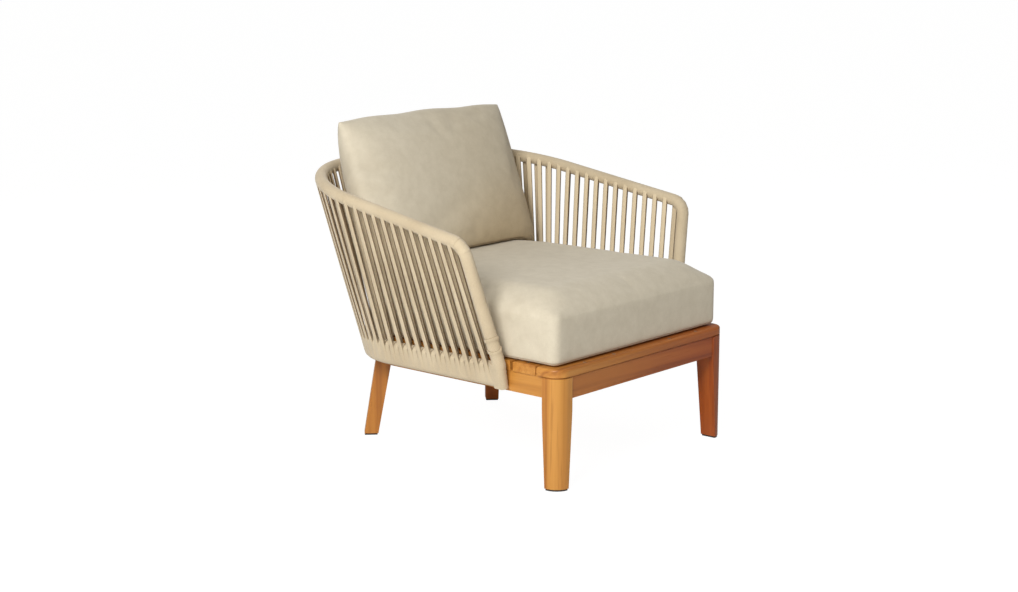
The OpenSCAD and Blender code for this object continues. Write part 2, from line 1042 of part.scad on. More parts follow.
module rail_wrap() {
    color(rope)
        place()
            difference() {
                arm_loop(wrap_r, tube_d / 2 + rope_gap, soft_gap);
                for (side = [-1, 1])
                    on_side(side)
                        stay_bar(rope_gap);
            }
}

module post_wrap(side) {
    color(rope)
        place()
            on_side(side)
                difference() {
                    post_run(wrap_r, tube_d / 2 + rope_gap);
                    band_edge_rod(0, band_t / 2 + rope_gap, 4 * wrap_r);
                    band_nose(rope_gap);
                }
}

// The rounded upper edge of the band at part s, as a rod
module band_edge_rod(s, r, l) {
    rod(band_point(s, band_axis_up), band_way(s), r, l);
}

module band_wrap() {
    color(rope)
        place()
            difference() {
                union() {
                    on_band()
                        loop(bar_line) {
                            band_section(band_t, band_h, rope_gap);
                            band_section(band_t + 2 * collar_t, band_h + 2 * collar_t,
                                         rope_gap - collar_t);
                        }
                    for (side = [-1, 1])
                        on_side(side)
                            band_nose();
                }
                for (side = [-1, 1])
                    on_side(side) {
                        rail_room();
                        bar_end(bar_t + 2 * rope_gap, bar_h + 2 * rope_gap);
                        rod(post_foot, post_way, tube_d / 2 + rope_gap,
                            2 * post_slot + 2 * rope_gap);
                        stay_bar(rope_gap);
                    }
                all_sleeves(sleeve_d / 2 + rope_gap);
            }
}

// Room for the side rail, beside the rope's turns round the bar's front end
module rail_room() {
    translate([side_x(0) + rope_gap, 0, 0])
        rotate([0, 0, base_taper])
            translate([-rail_t, 0, 0])
                cube([rail_t, 2 * post_foot_y, base_h]);
}

// The rope's turns round the front end of the bar and the post's foot
module band_nose(grow = 0) {
    out = nose_t + grow;
    low = band_point(0, -band_h / 2 - out);
    high = band_point(0, band_h / 2 + out);
    rod((low + high) / 2, unit(high - low), band_t / 2 + out, norm(high - low));
}

// Strands stand at even steps along the top rail. The outer layer's run from one
// post to the other; the inner layer's stand half a step between them.
strand_step = 2 * (half_length(rail_line) - first_strand) / (strand_count - 1);
function strand_part(k) = part_at(rail_line, first_strand + k * strand_step);
half_strands = strand_count / 2;
side_strands = ceil((side_length(rail_line) - first_strand) / strand_step);
corner_strands = ceil((side_length(rail_line) + arc_length(rail_line) - first_strand)
                      / strand_step);

// Distance of a layer's rope from the shell's middle, at the rail and at the band
top_layer = tube_d / 2 + rope_t / 2;
low_layer = bar_t / 2 + rope_t / 2 + 1;
top_trim = 5;
low_trim = 4;

// One strand of the right half at part s; layer is 1 outside and -1 inside
module strand(s, layer) {
    top = rail_point(s);
    low = band_point(s, band_axis_up);
    along = unit(rail_way(s) + band_way(s));
    out = unit(cross(along, top - low)) * layer;
    head = top + top_layer * out;
    foot = low + low_layer * out;
    way = unit(head - foot);
    flat = unit(cross(way, along));
    wide = cross(flat, way);
    difference() {
        frame_at(foot, wide, flat, way)
            translate([0, 0, low_trim])
                linear_extrude(height = norm(head - foot) - low_trim - top_trim)
                    rope_section();
        rod(top, rail_way(s), wrap_r + rope_gap, 4 * rope_w);
        band_edge_rod(s, band_t / 2 + rope_gap, 4 * rope_w);
    }
}

// The flattened rope: a bar with round edges
module rope_section() {
    union() {
        square([rope_w - rope_t, rope_t], center = true);
        for (x = [-1, 1])
            translate([x * (rope_w - rope_t) / 2, 0])
                circle(d = rope_t);
    }
}

// Strands number first to last of the right half, in both layers
module strands(first, last) {
    for (k = [first:last])
        strand(strand_part(k), 1);
    for (k = [first:last])
        if (k + 0.5 <= half_strands - 1)
            strand(strand_part(k + 0.5), -1);
}

module strands_side(side) {
    color(rope)
        place()
            on_side(side)
                strands(0, side_strands - 1);
}

module strands_corner(side) {
    color(rope)
        place()
            on_side(side)
                strands(side_strands, corner_strands - 1);
}

module strands_back() {
    color(rope)
        place()
            union() {
                for (side = [-1, 1])
                    on_side(side)
                        strands(corner_strands, half_strands - 1);
                strand(3, -1);
            }
}

// ---- Cushions ----

// The crown's rounding, and its setback from the sides, the front and the back
crown_r = 60;
crown_side = 85;
crown_front = 70;
crown_back = 70;

// Facets round the edges of the seat cushion's cover, and of its hidden foam
cover_facets = 24;
foam_facets = 20;

// The seat cushion's form, shrunk by an inset: rounded edges, large rear corners
// and a crown that stands above the top edges
module seat_form(inset, facets) {
    r = seat_edge_r - inset;
    sweep = seat_corner_r - seat_edge_r;
    rear_y = base_d - seat_back_gap - seat_corner_r;
    rear_x = seat_w / 2 - seat_corner_r;
    low = deck_z + soft_gap + seat_edge_r;
    high = deck_z + soft_gap + seat_t - seat_edge_r;
    hull() {
        for (z = [low, high], side = [-1, 1]) {
            translate([side * (seat_w / 2 - seat_edge_r), seat_front + seat_edge_r, z])
                sphere(r = r, $fn = facets);
            for (turn = [0:22.5:90])
                translate([side * (rear_x + sweep * cos(turn)), rear_y + sweep * sin(turn), z])
                    sphere(r = r, $fn = facets);
        }
        for (side = [-1, 1], y = [seat_front + crown_front, base_d - seat_back_gap - crown_back])
            translate([side * (seat_w / 2 - crown_side), y,
                       high + seat_edge_r + seat_crown - crown_r])
                sphere(r = crown_r - inset, $fn = 32);
    }
}

module seat_cushion_cover() {
    color(fabric)
        place()
            difference() {
                seat_form(0, cover_facets);
                seat_form(cover_t, cover_facets);
            }
}

module seat_cushion_foam() {
    color("white")
        place()
            seat_form(cover_t + soft_gap, foam_facets);
}

// The back cushion's seam, and the rounding and setback of its two swells
seam_r = 8;
front_r = 30;
rear_r = 44;
front_run = 84;
rear_run = 150;

// The back cushion's form in its own frame: seam corners, and a swell each side
module back_form(inset) {
    hull() {
        for (x = [-1, 1], z = [seam_r, back_h - seam_r])
            translate([x * (back_w / 2 - seam_r), 0, z])
                sphere(r = seam_r - inset, $fn = 22);
        for (x = [-1, 1], z = [front_run, back_h - front_run])
            translate([x * (back_w / 2 - front_run), front_r - back_front, z])
                sphere(r = front_r - inset, $fn = 28);
        for (x = [-1, 1], z = [front_run, back_h - front_run])
            translate([x * (back_w / 2 - rear_run), back_rear - rear_r, z])
                sphere(r = rear_r - inset, $fn = 28);
    }
}

back_z = deck_z + seat_t + seat_crown + 2 * soft_gap + seam_r * (1 - cos(back_tilt));

module on_back_cushion() {
    translate([0, back_y, back_z])
        rotate([-back_tilt, 0, 0])
            children();
}

module back_cushion_cover() {
    color(fabric)
        place()
            on_back_cushion()
                difference() {
                    back_form(0);
                    back_form(cover_t);
                }
}

module back_cushion_fill() {
    color("white")
        place()
            on_back_cushion()
                back_form(cover_t + soft_gap);
}

// ---- Nodes ----

front_leg(-1);  // front_leg_left
front_leg(1);  // front_leg_right
rear_leg(-1);  // rear_leg_left
rear_leg(1);  // rear_leg_right
front_glides();
rear_glides();
front_rail();
side_rail(-1);  // side_rail_left
side_rail(1);  // side_rail_right
rear_rail();
rear_corner(-1);  // rear_corner_left
rear_corner(1);  // rear_corner_right
centre_bearer();
rail_dowels();
rear_leg_bolts();
front_board();
for (i = [1:SLATS])
    slat(i);
slat_screws();
hoop_tube();
band_bar();
back_stay(-1);  // back_stay_left
back_stay(1);  // back_stay_right
shell_bolts();
shell_sleeves();
rail_wrap();
post_wrap(-1);  // post_wrap_left
post_wrap(1);  // post_wrap_right
band_wrap();
strands_side(-1);  // strands_left
strands_side(1);  // strands_right
strands_corner(-1);  // strands_corner_left
strands_corner(1);  // strands_corner_right
strands_back();
seat_cushion_cover();
seat_cushion_foam();
back_cushion_cover();
back_cushion_fill();
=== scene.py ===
# %% [markdown]
# # A rope-wound lounge armchair
#
# The chair is a teak base with a slatted seat, a shell of flat rope wound on a bent
# metal frame, and two loose cushions. The construction comes as fixed CAD pieces. They
# could be drawn again here, but then two versions of one chair could drift apart. So
# only the rope, the cushions and every finish are made here, round the fixed pieces,
# in metres.

# %% Load the fixed frame
import math
import random
from collections import namedtuple
import bpy
import bmesh
from mathutils import Matrix, Vector


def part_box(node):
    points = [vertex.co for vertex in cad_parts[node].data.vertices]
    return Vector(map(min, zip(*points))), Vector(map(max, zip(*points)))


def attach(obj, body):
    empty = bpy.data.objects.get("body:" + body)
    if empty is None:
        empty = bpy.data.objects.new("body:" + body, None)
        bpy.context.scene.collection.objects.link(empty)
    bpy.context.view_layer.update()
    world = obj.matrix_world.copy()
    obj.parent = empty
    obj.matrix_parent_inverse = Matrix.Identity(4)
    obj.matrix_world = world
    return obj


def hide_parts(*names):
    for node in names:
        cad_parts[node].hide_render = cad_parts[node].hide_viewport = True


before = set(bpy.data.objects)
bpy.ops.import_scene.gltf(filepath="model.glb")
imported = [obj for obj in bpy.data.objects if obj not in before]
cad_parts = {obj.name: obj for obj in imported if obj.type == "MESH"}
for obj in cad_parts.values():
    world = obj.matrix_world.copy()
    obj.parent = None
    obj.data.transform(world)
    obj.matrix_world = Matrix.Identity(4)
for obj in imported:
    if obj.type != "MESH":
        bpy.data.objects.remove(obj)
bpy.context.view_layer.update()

# %% [markdown]
# ## Camera
#
# The chair is seen from its front left and a little above, so that one side of the
# shell, the seat and the front of the base all show. A short lens close by would make
# the near leg look too large, so a long lens is used from further off. The camera
# stands back from a point on the seat, because two angles and a distance are easier
# to set than three coordinates.

# %% Camera
AZIMUTH, ELEVATION = math.radians(-49.5), math.radians(11.2)
DISTANCE, LENS_MM, SENSOR_MM, FAR_END = 4.884, 67.93, 36, 200
away = Vector((math.sin(AZIMUTH) * math.cos(ELEVATION),
               -math.cos(AZIMUTH) * math.cos(ELEVATION), math.sin(ELEVATION)))
look_at = Vector((-0.0074, -0.0012, 0.3608))
camera_data = bpy.data.cameras.new("camera")
camera_data.sensor_width = SENSOR_MM
camera_data.lens = LENS_MM
camera_data.clip_end = FAR_END
camera = bpy.data.objects.new("camera", camera_data)
bpy.context.scene.collection.objects.link(camera)
camera.location = look_at + away * DISTANCE
camera.rotation_euler = (-away).to_track_quat("-Z", "Y").to_euler()
bpy.context.scene.camera = camera
print("camera at", camera.location)

# %% [markdown]
# ## Working by hand in code
#
# Each new piece starts as a primitive and is shaped in edit mode, as it would be by
# hand. Its mesh could also be written down as lists of numbers, but operators show
# each step and are easy to change. An operator works on whatever is selected, so
# these helpers clear the selection, pick corners or edges by their place, and leave
# a finished piece with its object at the origin.

# %% Helpers for modelling
def deselect():
    """Leaves edit mode and clears the selection."""
    if bpy.context.object and bpy.context.object.mode != "OBJECT":
        bpy.ops.object.mode_set(mode="OBJECT")
    bpy.ops.object.select_all(action="DESELECT")


def make_active(piece):
    """Selects one piece alone, so that operators act on it."""
    deselect()
    piece.select_set(True)
    bpy.context.view_layer.objects.active = piece


def settle(piece, name, angle=40):
    """Names a piece, puts its place in its mesh and smooths its soft edges."""
    piece.name = piece.data.name = name
    make_active(piece)
    bpy.ops.object.transform_apply(location=True, rotation=True, scale=True)
    bpy.ops.object.shade_smooth_by_angle(angle=math.radians(angle))
    return piece


def apply_modifiers(piece):
    """Turns a piece's modifiers into plain mesh."""
    make_active(piece)
    for modifier in list(piece.modifiers):
        bpy.ops.object.modifier_apply(modifier=modifier.name)


def pick(piece, kind, test):
    """Selects the verts, edges or faces whose middle passes a test, in edit mode."""
    mesh = bmesh.from_edit_mesh(piece.data)
    for group in (mesh.verts, mesh.edges, mesh.faces):
        for part in group:
            part.select = False
    for part in getattr(mesh, kind):
        middle = part.co if kind == "verts" else (
            sum((v.co for v in part.verts), Vector()) / len(part.verts))
        if test(middle, part):
            part.select = True
    if kind == "verts":
        mesh.select_flush(True)
    else:
        mesh.select_flush_mode()
    bmesh.update_edit_mesh(piece.data)


def join(pieces, name):
    """Makes several pieces one."""
    deselect()
    for piece in pieces:
        piece.select_set(True)
    bpy.context.view_layer.objects.active = pieces[0]
    bpy.ops.object.join()
    pieces[0].name = pieces[0].data.name = name
    return pieces[0]


print("helpers ready")

# %% [markdown]
# ## Shader maths
#
# A finish is a formula on colours and numbers. Its nodes could be placed and linked
# one by one, but a formula of ten steps would then fill a page. This small class
# wraps a socket, so that the formula can be written with plus and times, and each
# step adds its node. The finish has one method that makes any other node.

# %% Shader maths
class Wire:
    """A node's output that can be added, subtracted and multiplied."""

    def __init__(self, finish, socket):
        self.finish, self.socket = finish, socket

    def maths(self, operation, other=None, swap=False):
        pair = [self, other]
        if swap:
            pair.reverse()
        return self.finish.node("ShaderNodeMath", {"operation": operation},
                                {0: pair[0], 1: pair[1]})

    def __add__(self, other):
        return self.maths("ADD", other)

    def __sub__(self, other):
        return self.maths("SUBTRACT", other)

    def __rsub__(self, other):
        return self.maths("SUBTRACT", other, True)

    def __mul__(self, other):
        return self.maths("MULTIPLY", other)

    def __abs__(self):
        return self.maths("ABSOLUTE")

    __radd__, __rmul__ = __add__, __mul__


class Finish:
    """A material under construction."""

    def __init__(self, name):
        self.material = bpy.data.materials.new(name)
        self.material.use_nodes = True
        self.tree = self.material.node_tree
        self.tree.nodes.clear()

    def node(self, kind, settings=None, values=None, output=0):
        """Adds a node of a kind, sets it, then gives its sockets values or links."""
        new = self.tree.nodes.new(kind)
        for key, value in (settings or {}).items():
            if key == "stops":
                ramp = new.color_ramp
                while len(ramp.elements) < len(value):
                    ramp.elements.new(0.5)
                for element, (place, colour) in zip(ramp.elements, value):
                    element.position = place
                    element.color = (*colour, 1)
            else:
                setattr(new, key, value)
        for key, value in (values or {}).items():
            socket = new.inputs[key]
            if isinstance(value, Wire):
                self.tree.links.new(value.socket, socket)
            elif value is not None:
                if socket.type == "RGBA" and len(value) == 3:
                    value = (*value, 1)
                socket.default_value = value
        return Wire(self, new.outputs[output])

    def mix(self, share, first, second):
        return self.node("ShaderNodeMix", {"data_type": "RGBA"},
                         {0: share, 6: first, 7: second}, output=2)

    def tint(self, share, colour, by):
        """Multiplies a colour by another, as a stain or a shade does."""
        return self.node("ShaderNodeMix", {"data_type": "RGBA", "blend_type": "MULTIPLY"},
                         {0: share, 6: colour, 7: by}, output=2)

    def ramp(self, value, *stops):
        return self.node("ShaderNodeValToRGB", {"stops": stops}, {0: value})

    def steps(self, value, low, high):
        """0 below low, 1 above high, smooth between."""
        return self.node("ShaderNodeMapRange", {"interpolation_type": "SMOOTHSTEP"},
                         {0: value, 1: low, 2: high, 3: 0.0, 4: 1.0})

    def noise(self, place, scale, detail=3.0, rough=0.5, distortion=0.0):
        return self.node("ShaderNodeTexNoise", {}, {"Vector": place, "Scale": scale,
                         "Detail": detail, "Roughness": rough, "Distortion": distortion})

    def wave(self, place, direction, scale, distortion):
        return self.node("ShaderNodeTexWave", {"bands_direction": direction},
                         {"Vector": place, "Scale": scale, "Distortion": distortion})

    def object_place(self, scale=(1, 1, 1), shift=(0, 0, 0)):
        place = self.node("ShaderNodeTexCoord", output=3)
        return self.node("ShaderNodeMapping", {},
                         {"Vector": place, "Location": shift, "Scale": scale})

    def uv_place(self, scale=(1, 1, 1)):
        place = self.node("ShaderNodeTexCoord", output=2)
        return self.node("ShaderNodeMapping", {}, {"Vector": place, "Scale": scale})

    def coordinate(self, place, axis):
        return self.node("ShaderNodeSeparateXYZ", {}, {0: place},
                         output="XYZ".index(axis))

    def attribute(self, name):
        """A number that the mesh carries at each point."""
        return self.node("ShaderNodeAttribute", {"attribute_name": name}, output=2)

    def bump(self, height, distance, strength=1.0):
        return self.node("ShaderNodeBump", {}, {"Strength": strength,
                         "Distance": distance, "Height": height})

    def surface(self, **sockets):
        """Ends in a Principled shader; an underscore stands for a space in a name."""
        values = {key.replace("_", " "): value for key, value in sockets.items()}
        return self.close(self.node("ShaderNodeBsdfPrincipled", {}, values))

    def close(self, shader):
        """Links a shader to the material's output."""
        out = self.tree.nodes.new("ShaderNodeOutputMaterial")
        self.tree.links.new(shader.socket, out.inputs[0])
        return self.material


def dress(piece, material):
    """Gives a whole piece one material."""
    piece.data.materials.clear()
    piece.data.materials.append(material)
    for face in piece.data.polygons:
        face.material_index = 0


print("shader maths ready")

# %% [markdown]
# ## Teak
#
# Oiled teak is golden brown, with long dark streaks along each board, fine pores and
# a few wide bands of lighter and darker wood. An image texture could be wrapped on,
# but it would stretch round corners and show the same board twice. So the grain is
# one noise, stretched along each piece's own length, and each piece is cut from
# another place in it. Some pieces get a red tint that is partly a redder heartwood and
# partly painted warm shade, and the hidden pieces under the seat get painted shade.

# %% Teak finish
TEAK_LIGHT = (0.62, 0.29, 0.060)
TEAK_MID = (0.50, 0.20, 0.034)
TEAK_DARK = (0.30, 0.095, 0.015)
# Painted colours: this red stands partly for a redder heartwood and partly for warm shade,
# and the dark brown below it stands for shade on hidden pieces.
TEAK_RED_SHADE = (0.66, 0.30, 0.18)
TEAK_PAINTED_SHADE = (0.17, 0.06, 0.02)
ALONG, ACROSS = 1.1, 26.0                # bands in a metre, with and across the grain
LEFT_END, RIGHT_END = -0.30, 0.32        # between these the redness changes, in metres


def teak(name, grain, seed, lit_share=1.0, red_and_shade=(0.0, 0.0)):
    """Teak whose grain runs along X, Y or Z. The fourth argument, under 1, mixes in painted
    shade, and the fifth is how strong a red tint is at the chair's left and at its right;
    the tint is partly a redder heartwood and partly painted warm shade."""
    finish = Finish("teak_" + name)
    rng = random.Random(seed)
    shift = [rng.uniform(-9, 9) for _ in range(3)]

    def stretched(along, across):
        scale = [across] * 3
        scale["XYZ".index(grain)] = along
        return finish.object_place(scale, shift)

    bands = finish.noise(stretched(ALONG, ACROSS), 1.0, 4.0, 0.55, 1.2)
    streaks = finish.noise(stretched(ALONG * 4.5, ACROSS * 5.5), 1.0, 3.0, 0.6)
    wide = finish.noise(stretched(1.4, 3.0), 1.0, 2.0)
    pores = finish.steps(streaks, 0.58, 0.72)
    colour = finish.ramp(bands, (0.30, TEAK_DARK), (0.47, TEAK_MID), (0.66, TEAK_LIGHT))
    colour = finish.mix(finish.steps(wide, 0.35, 0.7) * 0.55, colour, TEAK_LIGHT)
    colour = finish.mix(pores * 0.35, colour, TEAK_DARK)
    # Painted shade: a value under 1 mixes the colour towards the dark brown of shade.
    if lit_share != 1.0:
        colour = finish.mix(1 - lit_share, colour, TEAK_PAINTED_SHADE)
    # A red tint, partly redder heartwood and partly painted warm shade, that changes from
    # the chair's left to its right.
    if any(red_and_shade):
        x = finish.coordinate(finish.object_place(), "X")
        share = finish.steps(x, LEFT_END, RIGHT_END) * (red_and_shade[1] - red_and_shade[0]) + red_and_shade[0]
        colour = finish.tint(share, colour, TEAK_RED_SHADE)
    height = streaks * 0.6 + bands * 0.4
    return finish.surface(Base_Color=colour, Roughness=0.42 + pores * 0.18,
                          Specular_IOR_Level=0.4, Coat_Weight=0.12, Coat_Roughness=0.3,
                          Normal=finish.bump(height, 0.0006, 0.5))


GRAIN_OF = {
    "X": ["front_rail", "rear_rail", "front_board", "rail_dowels"]
         + ["slat_%d" % n for n in range(1, 9)],
    "Y": ["side_rail_left", "side_rail_right", "rear_corner_left", "rear_corner_right",
          "centre_bearer"],
    "Z": ["front_leg_left", "front_leg_right", "rear_leg_left", "rear_leg_right"]}
# The red tint of each piece at the left and at the right, partly redder heartwood and
# partly painted warm shade.
RED_AND_SHADE = {"front_leg_right": (0.92, 0.92), "rear_leg_right": (0.65, 0.65),
       "front_rail": (0.45, 0.95), "front_board": (0.10, 0.80),
       "side_rail_right": (0.45, 0.45), "rear_leg_left": (0.15, 0.15)}
# The hidden pieces get painted shade: their colour is partly mixed towards dark brown.
HIDDEN, HIDDEN_LIT_SHARE, FIRST_SEED = ("centre_bearer", "rail_dowels"), 0.75, 5
boards = sorted((node, grain) for grain, nodes in GRAIN_OF.items() for node in nodes)
for seed, (node, grain) in enumerate(boards, FIRST_SEED):
    lit_share = HIDDEN_LIT_SHARE if node in HIDDEN else 1.0
    dress(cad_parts[node], teak(node, grain, seed, lit_share, RED_AND_SHADE.get(node, (0.0, 0.0))))
print(len(boards), "teak pieces dressed")

# %% [markdown]
# ## Metal and plastic
#
# The hidden frame is powder coated in the rope's colour, the screws are stainless
# steel and the glides under the feet are black plastic. Each could be one flat
# colour, but light on a real surface is never that even. So one fine noise varies the
# colour, the roughness and the height of each. On steel it is drawn out into lines.

# %% Metal and plastic finishes
def grained(name, dark, light, rough, spread, depth, strength=0.4, scale=1.0,
            detail=2.0, stretch=(1, 1, 1), metallic=0.0):
    """A finish between two colours, its roughness between rough and rough + spread,
    with bumps of a depth in metres."""
    finish = Finish(name)
    grit = finish.noise(finish.object_place(stretch), scale, detail)
    return finish.surface(Base_Color=finish.ramp(grit, (0.3, dark), (0.7, light)),
                          Metallic=metallic, Roughness=rough + grit * spread,
                          Normal=finish.bump(grit, depth, strength))


coat = grained("powder_coat", (0.50, 0.415, 0.285), (0.56, 0.47, 0.33), 0.5, 0.1,
               0.0001, scale=900.0)
steel = grained("brushed_steel", (0.52, 0.51, 0.49), (0.68, 0.67, 0.65), 0.25, 0.2,
                0.00005, detail=3.0, stretch=(90, 90, 2400), metallic=1.0)
plastic = grained("glide_plastic", (0.012, 0.011, 0.010), (0.03, 0.028, 0.025), 0.45,
                  0.2, 0.0001, strength=0.5, scale=700.0)
for material, nodes in (
        (coat, ("hoop_tube", "band_bar", "back_stay_left", "back_stay_right")),
        (steel, ("rear_leg_bolts", "slat_screws", "shell_bolts")),
        (plastic, ("front_glides", "rear_glides", "shell_sleeves"))):
    for node in nodes:
        dress(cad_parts[node], material)
print("metal and plastic dressed")

# %% [markdown]
# ## The shell's two lines
#
# The rope is strung between two lines: a bar that follows the base's plan and a
# higher, wider tube in a tilted plane. They could be measured off the fixed pieces,
# but a formula gives a place, a direction and a length anywhere on them. Each line is
# a straight side, an arc and a straight back. A place on a line is a part: 0 to 1 on
# the side, 1 to 2 round the corner and 2 to 3 across half of the back. The values
# repeat those of the CAD, in millimetres.

# %% The shell's lines
FRONT = 431.75                       # from the chair's front to its middle
BASE_TAPER, ARM_TAPER = math.radians(1.0), math.radians(2.4)
RISE, LEAN = math.radians(9.76), math.radians(14.5)
POST_Y, BAR_Z, ARM_Y, ARM_Z, ARM_X = 168.0, 256.0, 206.0, 572.0, 433.0
BASE_X, LEG_Y, BACK_Y = 325.0, 53.0, 848
CORNER_Y, BASE_CORNER_R = 538.0, 164
BAR_OUT, BAR_R, RAIL_R = 19.5, 183.5, 280.0
TUBE_R, WRAP_R = 10.5, 15.5          # the tube bare, and with the rope round it
ROPE_T, ROPE_W = 5.0, 14.6
BAND_T, BAND_H = 23.0, 65.0
BAND_UP = (BAND_H - BAND_T) / 2
Line = namedtuple("Line", "start taper arc_x arc_y radius")


def side_x(y):
    """How far the base's side is from the middle."""
    return BASE_X - (y - LEG_Y) * math.tan(BASE_TAPER)


corner_x = (side_x(CORNER_Y + BASE_CORNER_R * math.sin(BASE_TAPER))
            - BASE_CORNER_R * math.cos(BASE_TAPER))
bar_line = Line(side_x(POST_Y) + BAR_OUT, BASE_TAPER, corner_x, CORNER_Y - POST_Y, BAR_R)
arc_y = (BACK_Y - ARM_Y) / math.cos(RISE) - RAIL_R
arc_x = (ARM_X - (arc_y + RAIL_R * math.sin(ARM_TAPER)) * math.tan(ARM_TAPER)
         - RAIL_R * math.cos(ARM_TAPER))
rail_line = Line(ARM_X, ARM_TAPER, arc_x, arc_y, RAIL_R)


def side_length(line):
    return (line.arc_y + line.radius * math.sin(line.taper)) / math.cos(line.taper)


def arc_length(line):
    return line.radius * (math.pi / 2 - line.taper)


def half_length(line):
    return side_length(line) + arc_length(line) + line.arc_x


def bearing(line, part):
    """The angle that the line has turned by, from straight back to straight across."""
    if part < 1:
        return line.taper
    if part < 2:
        return line.taper + (part - 1) * (math.pi / 2 - line.taper)
    return math.pi / 2


def flat_point(line, part):
    """A point of the line in its own plane."""
    if part < 1:
        run = part * side_length(line)
        return Vector((line.start - run * math.sin(line.taper),
                       run * math.cos(line.taper), 0))
    if part < 2:
        turn = bearing(line, part)
        return Vector((line.arc_x + line.radius * math.cos(turn),
                       line.arc_y + line.radius * math.sin(turn), 0))
    return Vector(((3 - part) * line.arc_x, line.arc_y + line.radius, 0))


def part_at(line, run):
    """The part that lies a given length along the line."""
    side, arc = side_length(line), arc_length(line)
    if run < side:
        return run / side
    if run < side + arc:
        return 1 + (run - side) / arc
    return 2 + (run - side - arc) / line.arc_x


def tilt(v):
    """Turns a flat direction up into the rail's plane."""
    return Vector((v.x, v.y * math.cos(RISE), v.y * math.sin(RISE)))


def rail_point(part):
    return tilt(flat_point(rail_line, part)) + Vector((0, ARM_Y, ARM_Z))


def rail_way(part):
    turn = bearing(rail_line, part)
    return tilt(Vector((-math.sin(turn), math.cos(turn), 0)))


def band_axes(part):
    """The way along the band, the way up its lean, and its outward normal."""
    turn = bearing(bar_line, part)
    way = Vector((-math.sin(turn), math.cos(turn), 0))
    out = Vector((math.cos(turn), math.sin(turn), 0))
    up = out * math.sin(LEAN) + Vector((0, 0, math.cos(LEAN)))
    return way, up, out * math.cos(LEAN) - Vector((0, 0, math.sin(LEAN)))


def band_point(part, up=0.0, out=0.0):
    _, rise, outward = band_axes(part)
    return (flat_point(bar_line, part) + Vector((0, POST_Y, BAR_Z)) + rise * up
            + outward * out)


STRANDS = 58                         # in the outer layer, over both halves
FIRST = 34.0                         # along the rail, from the post to a strand
STEP = 2 * (half_length(rail_line) - FIRST) / (STRANDS - 1)
print("strand step at the rail", round(STEP, 2), "mm")

# %% [markdown]
# ## One rope, modelled once
#
# The rope is a flat braid, about 15 mm wide and 5 mm thick. A curve with a bevel
# would give a round cord, or a flat one that twists where it likes. So the rope is
# modelled once as a straight unit length: a cylinder whose ring is squashed to a flat
# oval and whose long edges are cut across many times. Each strand and each turn is a
# copy of that mesh with its rings laid along a path.

# %% The unit rope
STRAND_CUTS, TURN_CUTS = 27, 23
BOXY_ACROSS, BOXY_THICK = 0.55, 0.62     # powers under 1 turn an oval into a soft box


def unit_rope(name, cuts, sides=10, closed_ends=True):
    """A rope along Z from 0 to 1; x is -1 to 1 across its width, y its thickness."""
    deselect()
    bpy.ops.mesh.primitive_cylinder_add(vertices=sides, radius=1, depth=1,
                                        location=(0, 0, 0.5),
                                        end_fill_type="NGON" if closed_ends else "NOTHING")
    rope = bpy.context.object
    bpy.ops.object.mode_set(mode="EDIT")
    bpy.ops.mesh.select_mode(type="EDGE")
    pick(rope, "edges",
         lambda middle, edge: abs(edge.verts[0].co.z - edge.verts[1].co.z) > 0.5)
    bpy.ops.mesh.subdivide(number_cuts=cuts)
    bpy.ops.object.mode_set(mode="OBJECT")
    for vert in rope.data.vertices:
        across, thick = vert.co.x, vert.co.y
        vert.co.x = math.copysign(abs(across) ** BOXY_ACROSS, across)
        vert.co.y = math.copysign(abs(thick) ** BOXY_THICK, thick)
    return settle(rope, name, 60)


strand_model = unit_rope("strand_model", STRAND_CUTS)
turn_model = unit_rope("turn_model", TURN_CUTS, 8, False)
print("unit rope:", len(strand_model.data.vertices), "corners")

# %% [markdown]
# ## Laying a rope along a path
#
# A curve modifier could bend the unit rope, but it can't say how wide or how flat the
# rope is on the way. So a path is a list of stations. Each says where the rope's
# middle is, which way its width and its outer face point, how wide and thick it is
# there, and how flat it is pressed, from 0 for a free rope to 1 where it lies tight
# against its neighbours. UVs keep the length and the way across in millimetres, so
# that the braid follows every bend.

# %% Laying ropes
Station = namedtuple("Station", "place across out wide thick flat")
UV_HALF = 6.5                        # the UV at a rope's edge
SQUARER, TIGHTER = 0.8, 1.6          # how square a pressed rope gets, and how soon bound


def blend(first, second, share):
    return first * (1 - share) + second * share


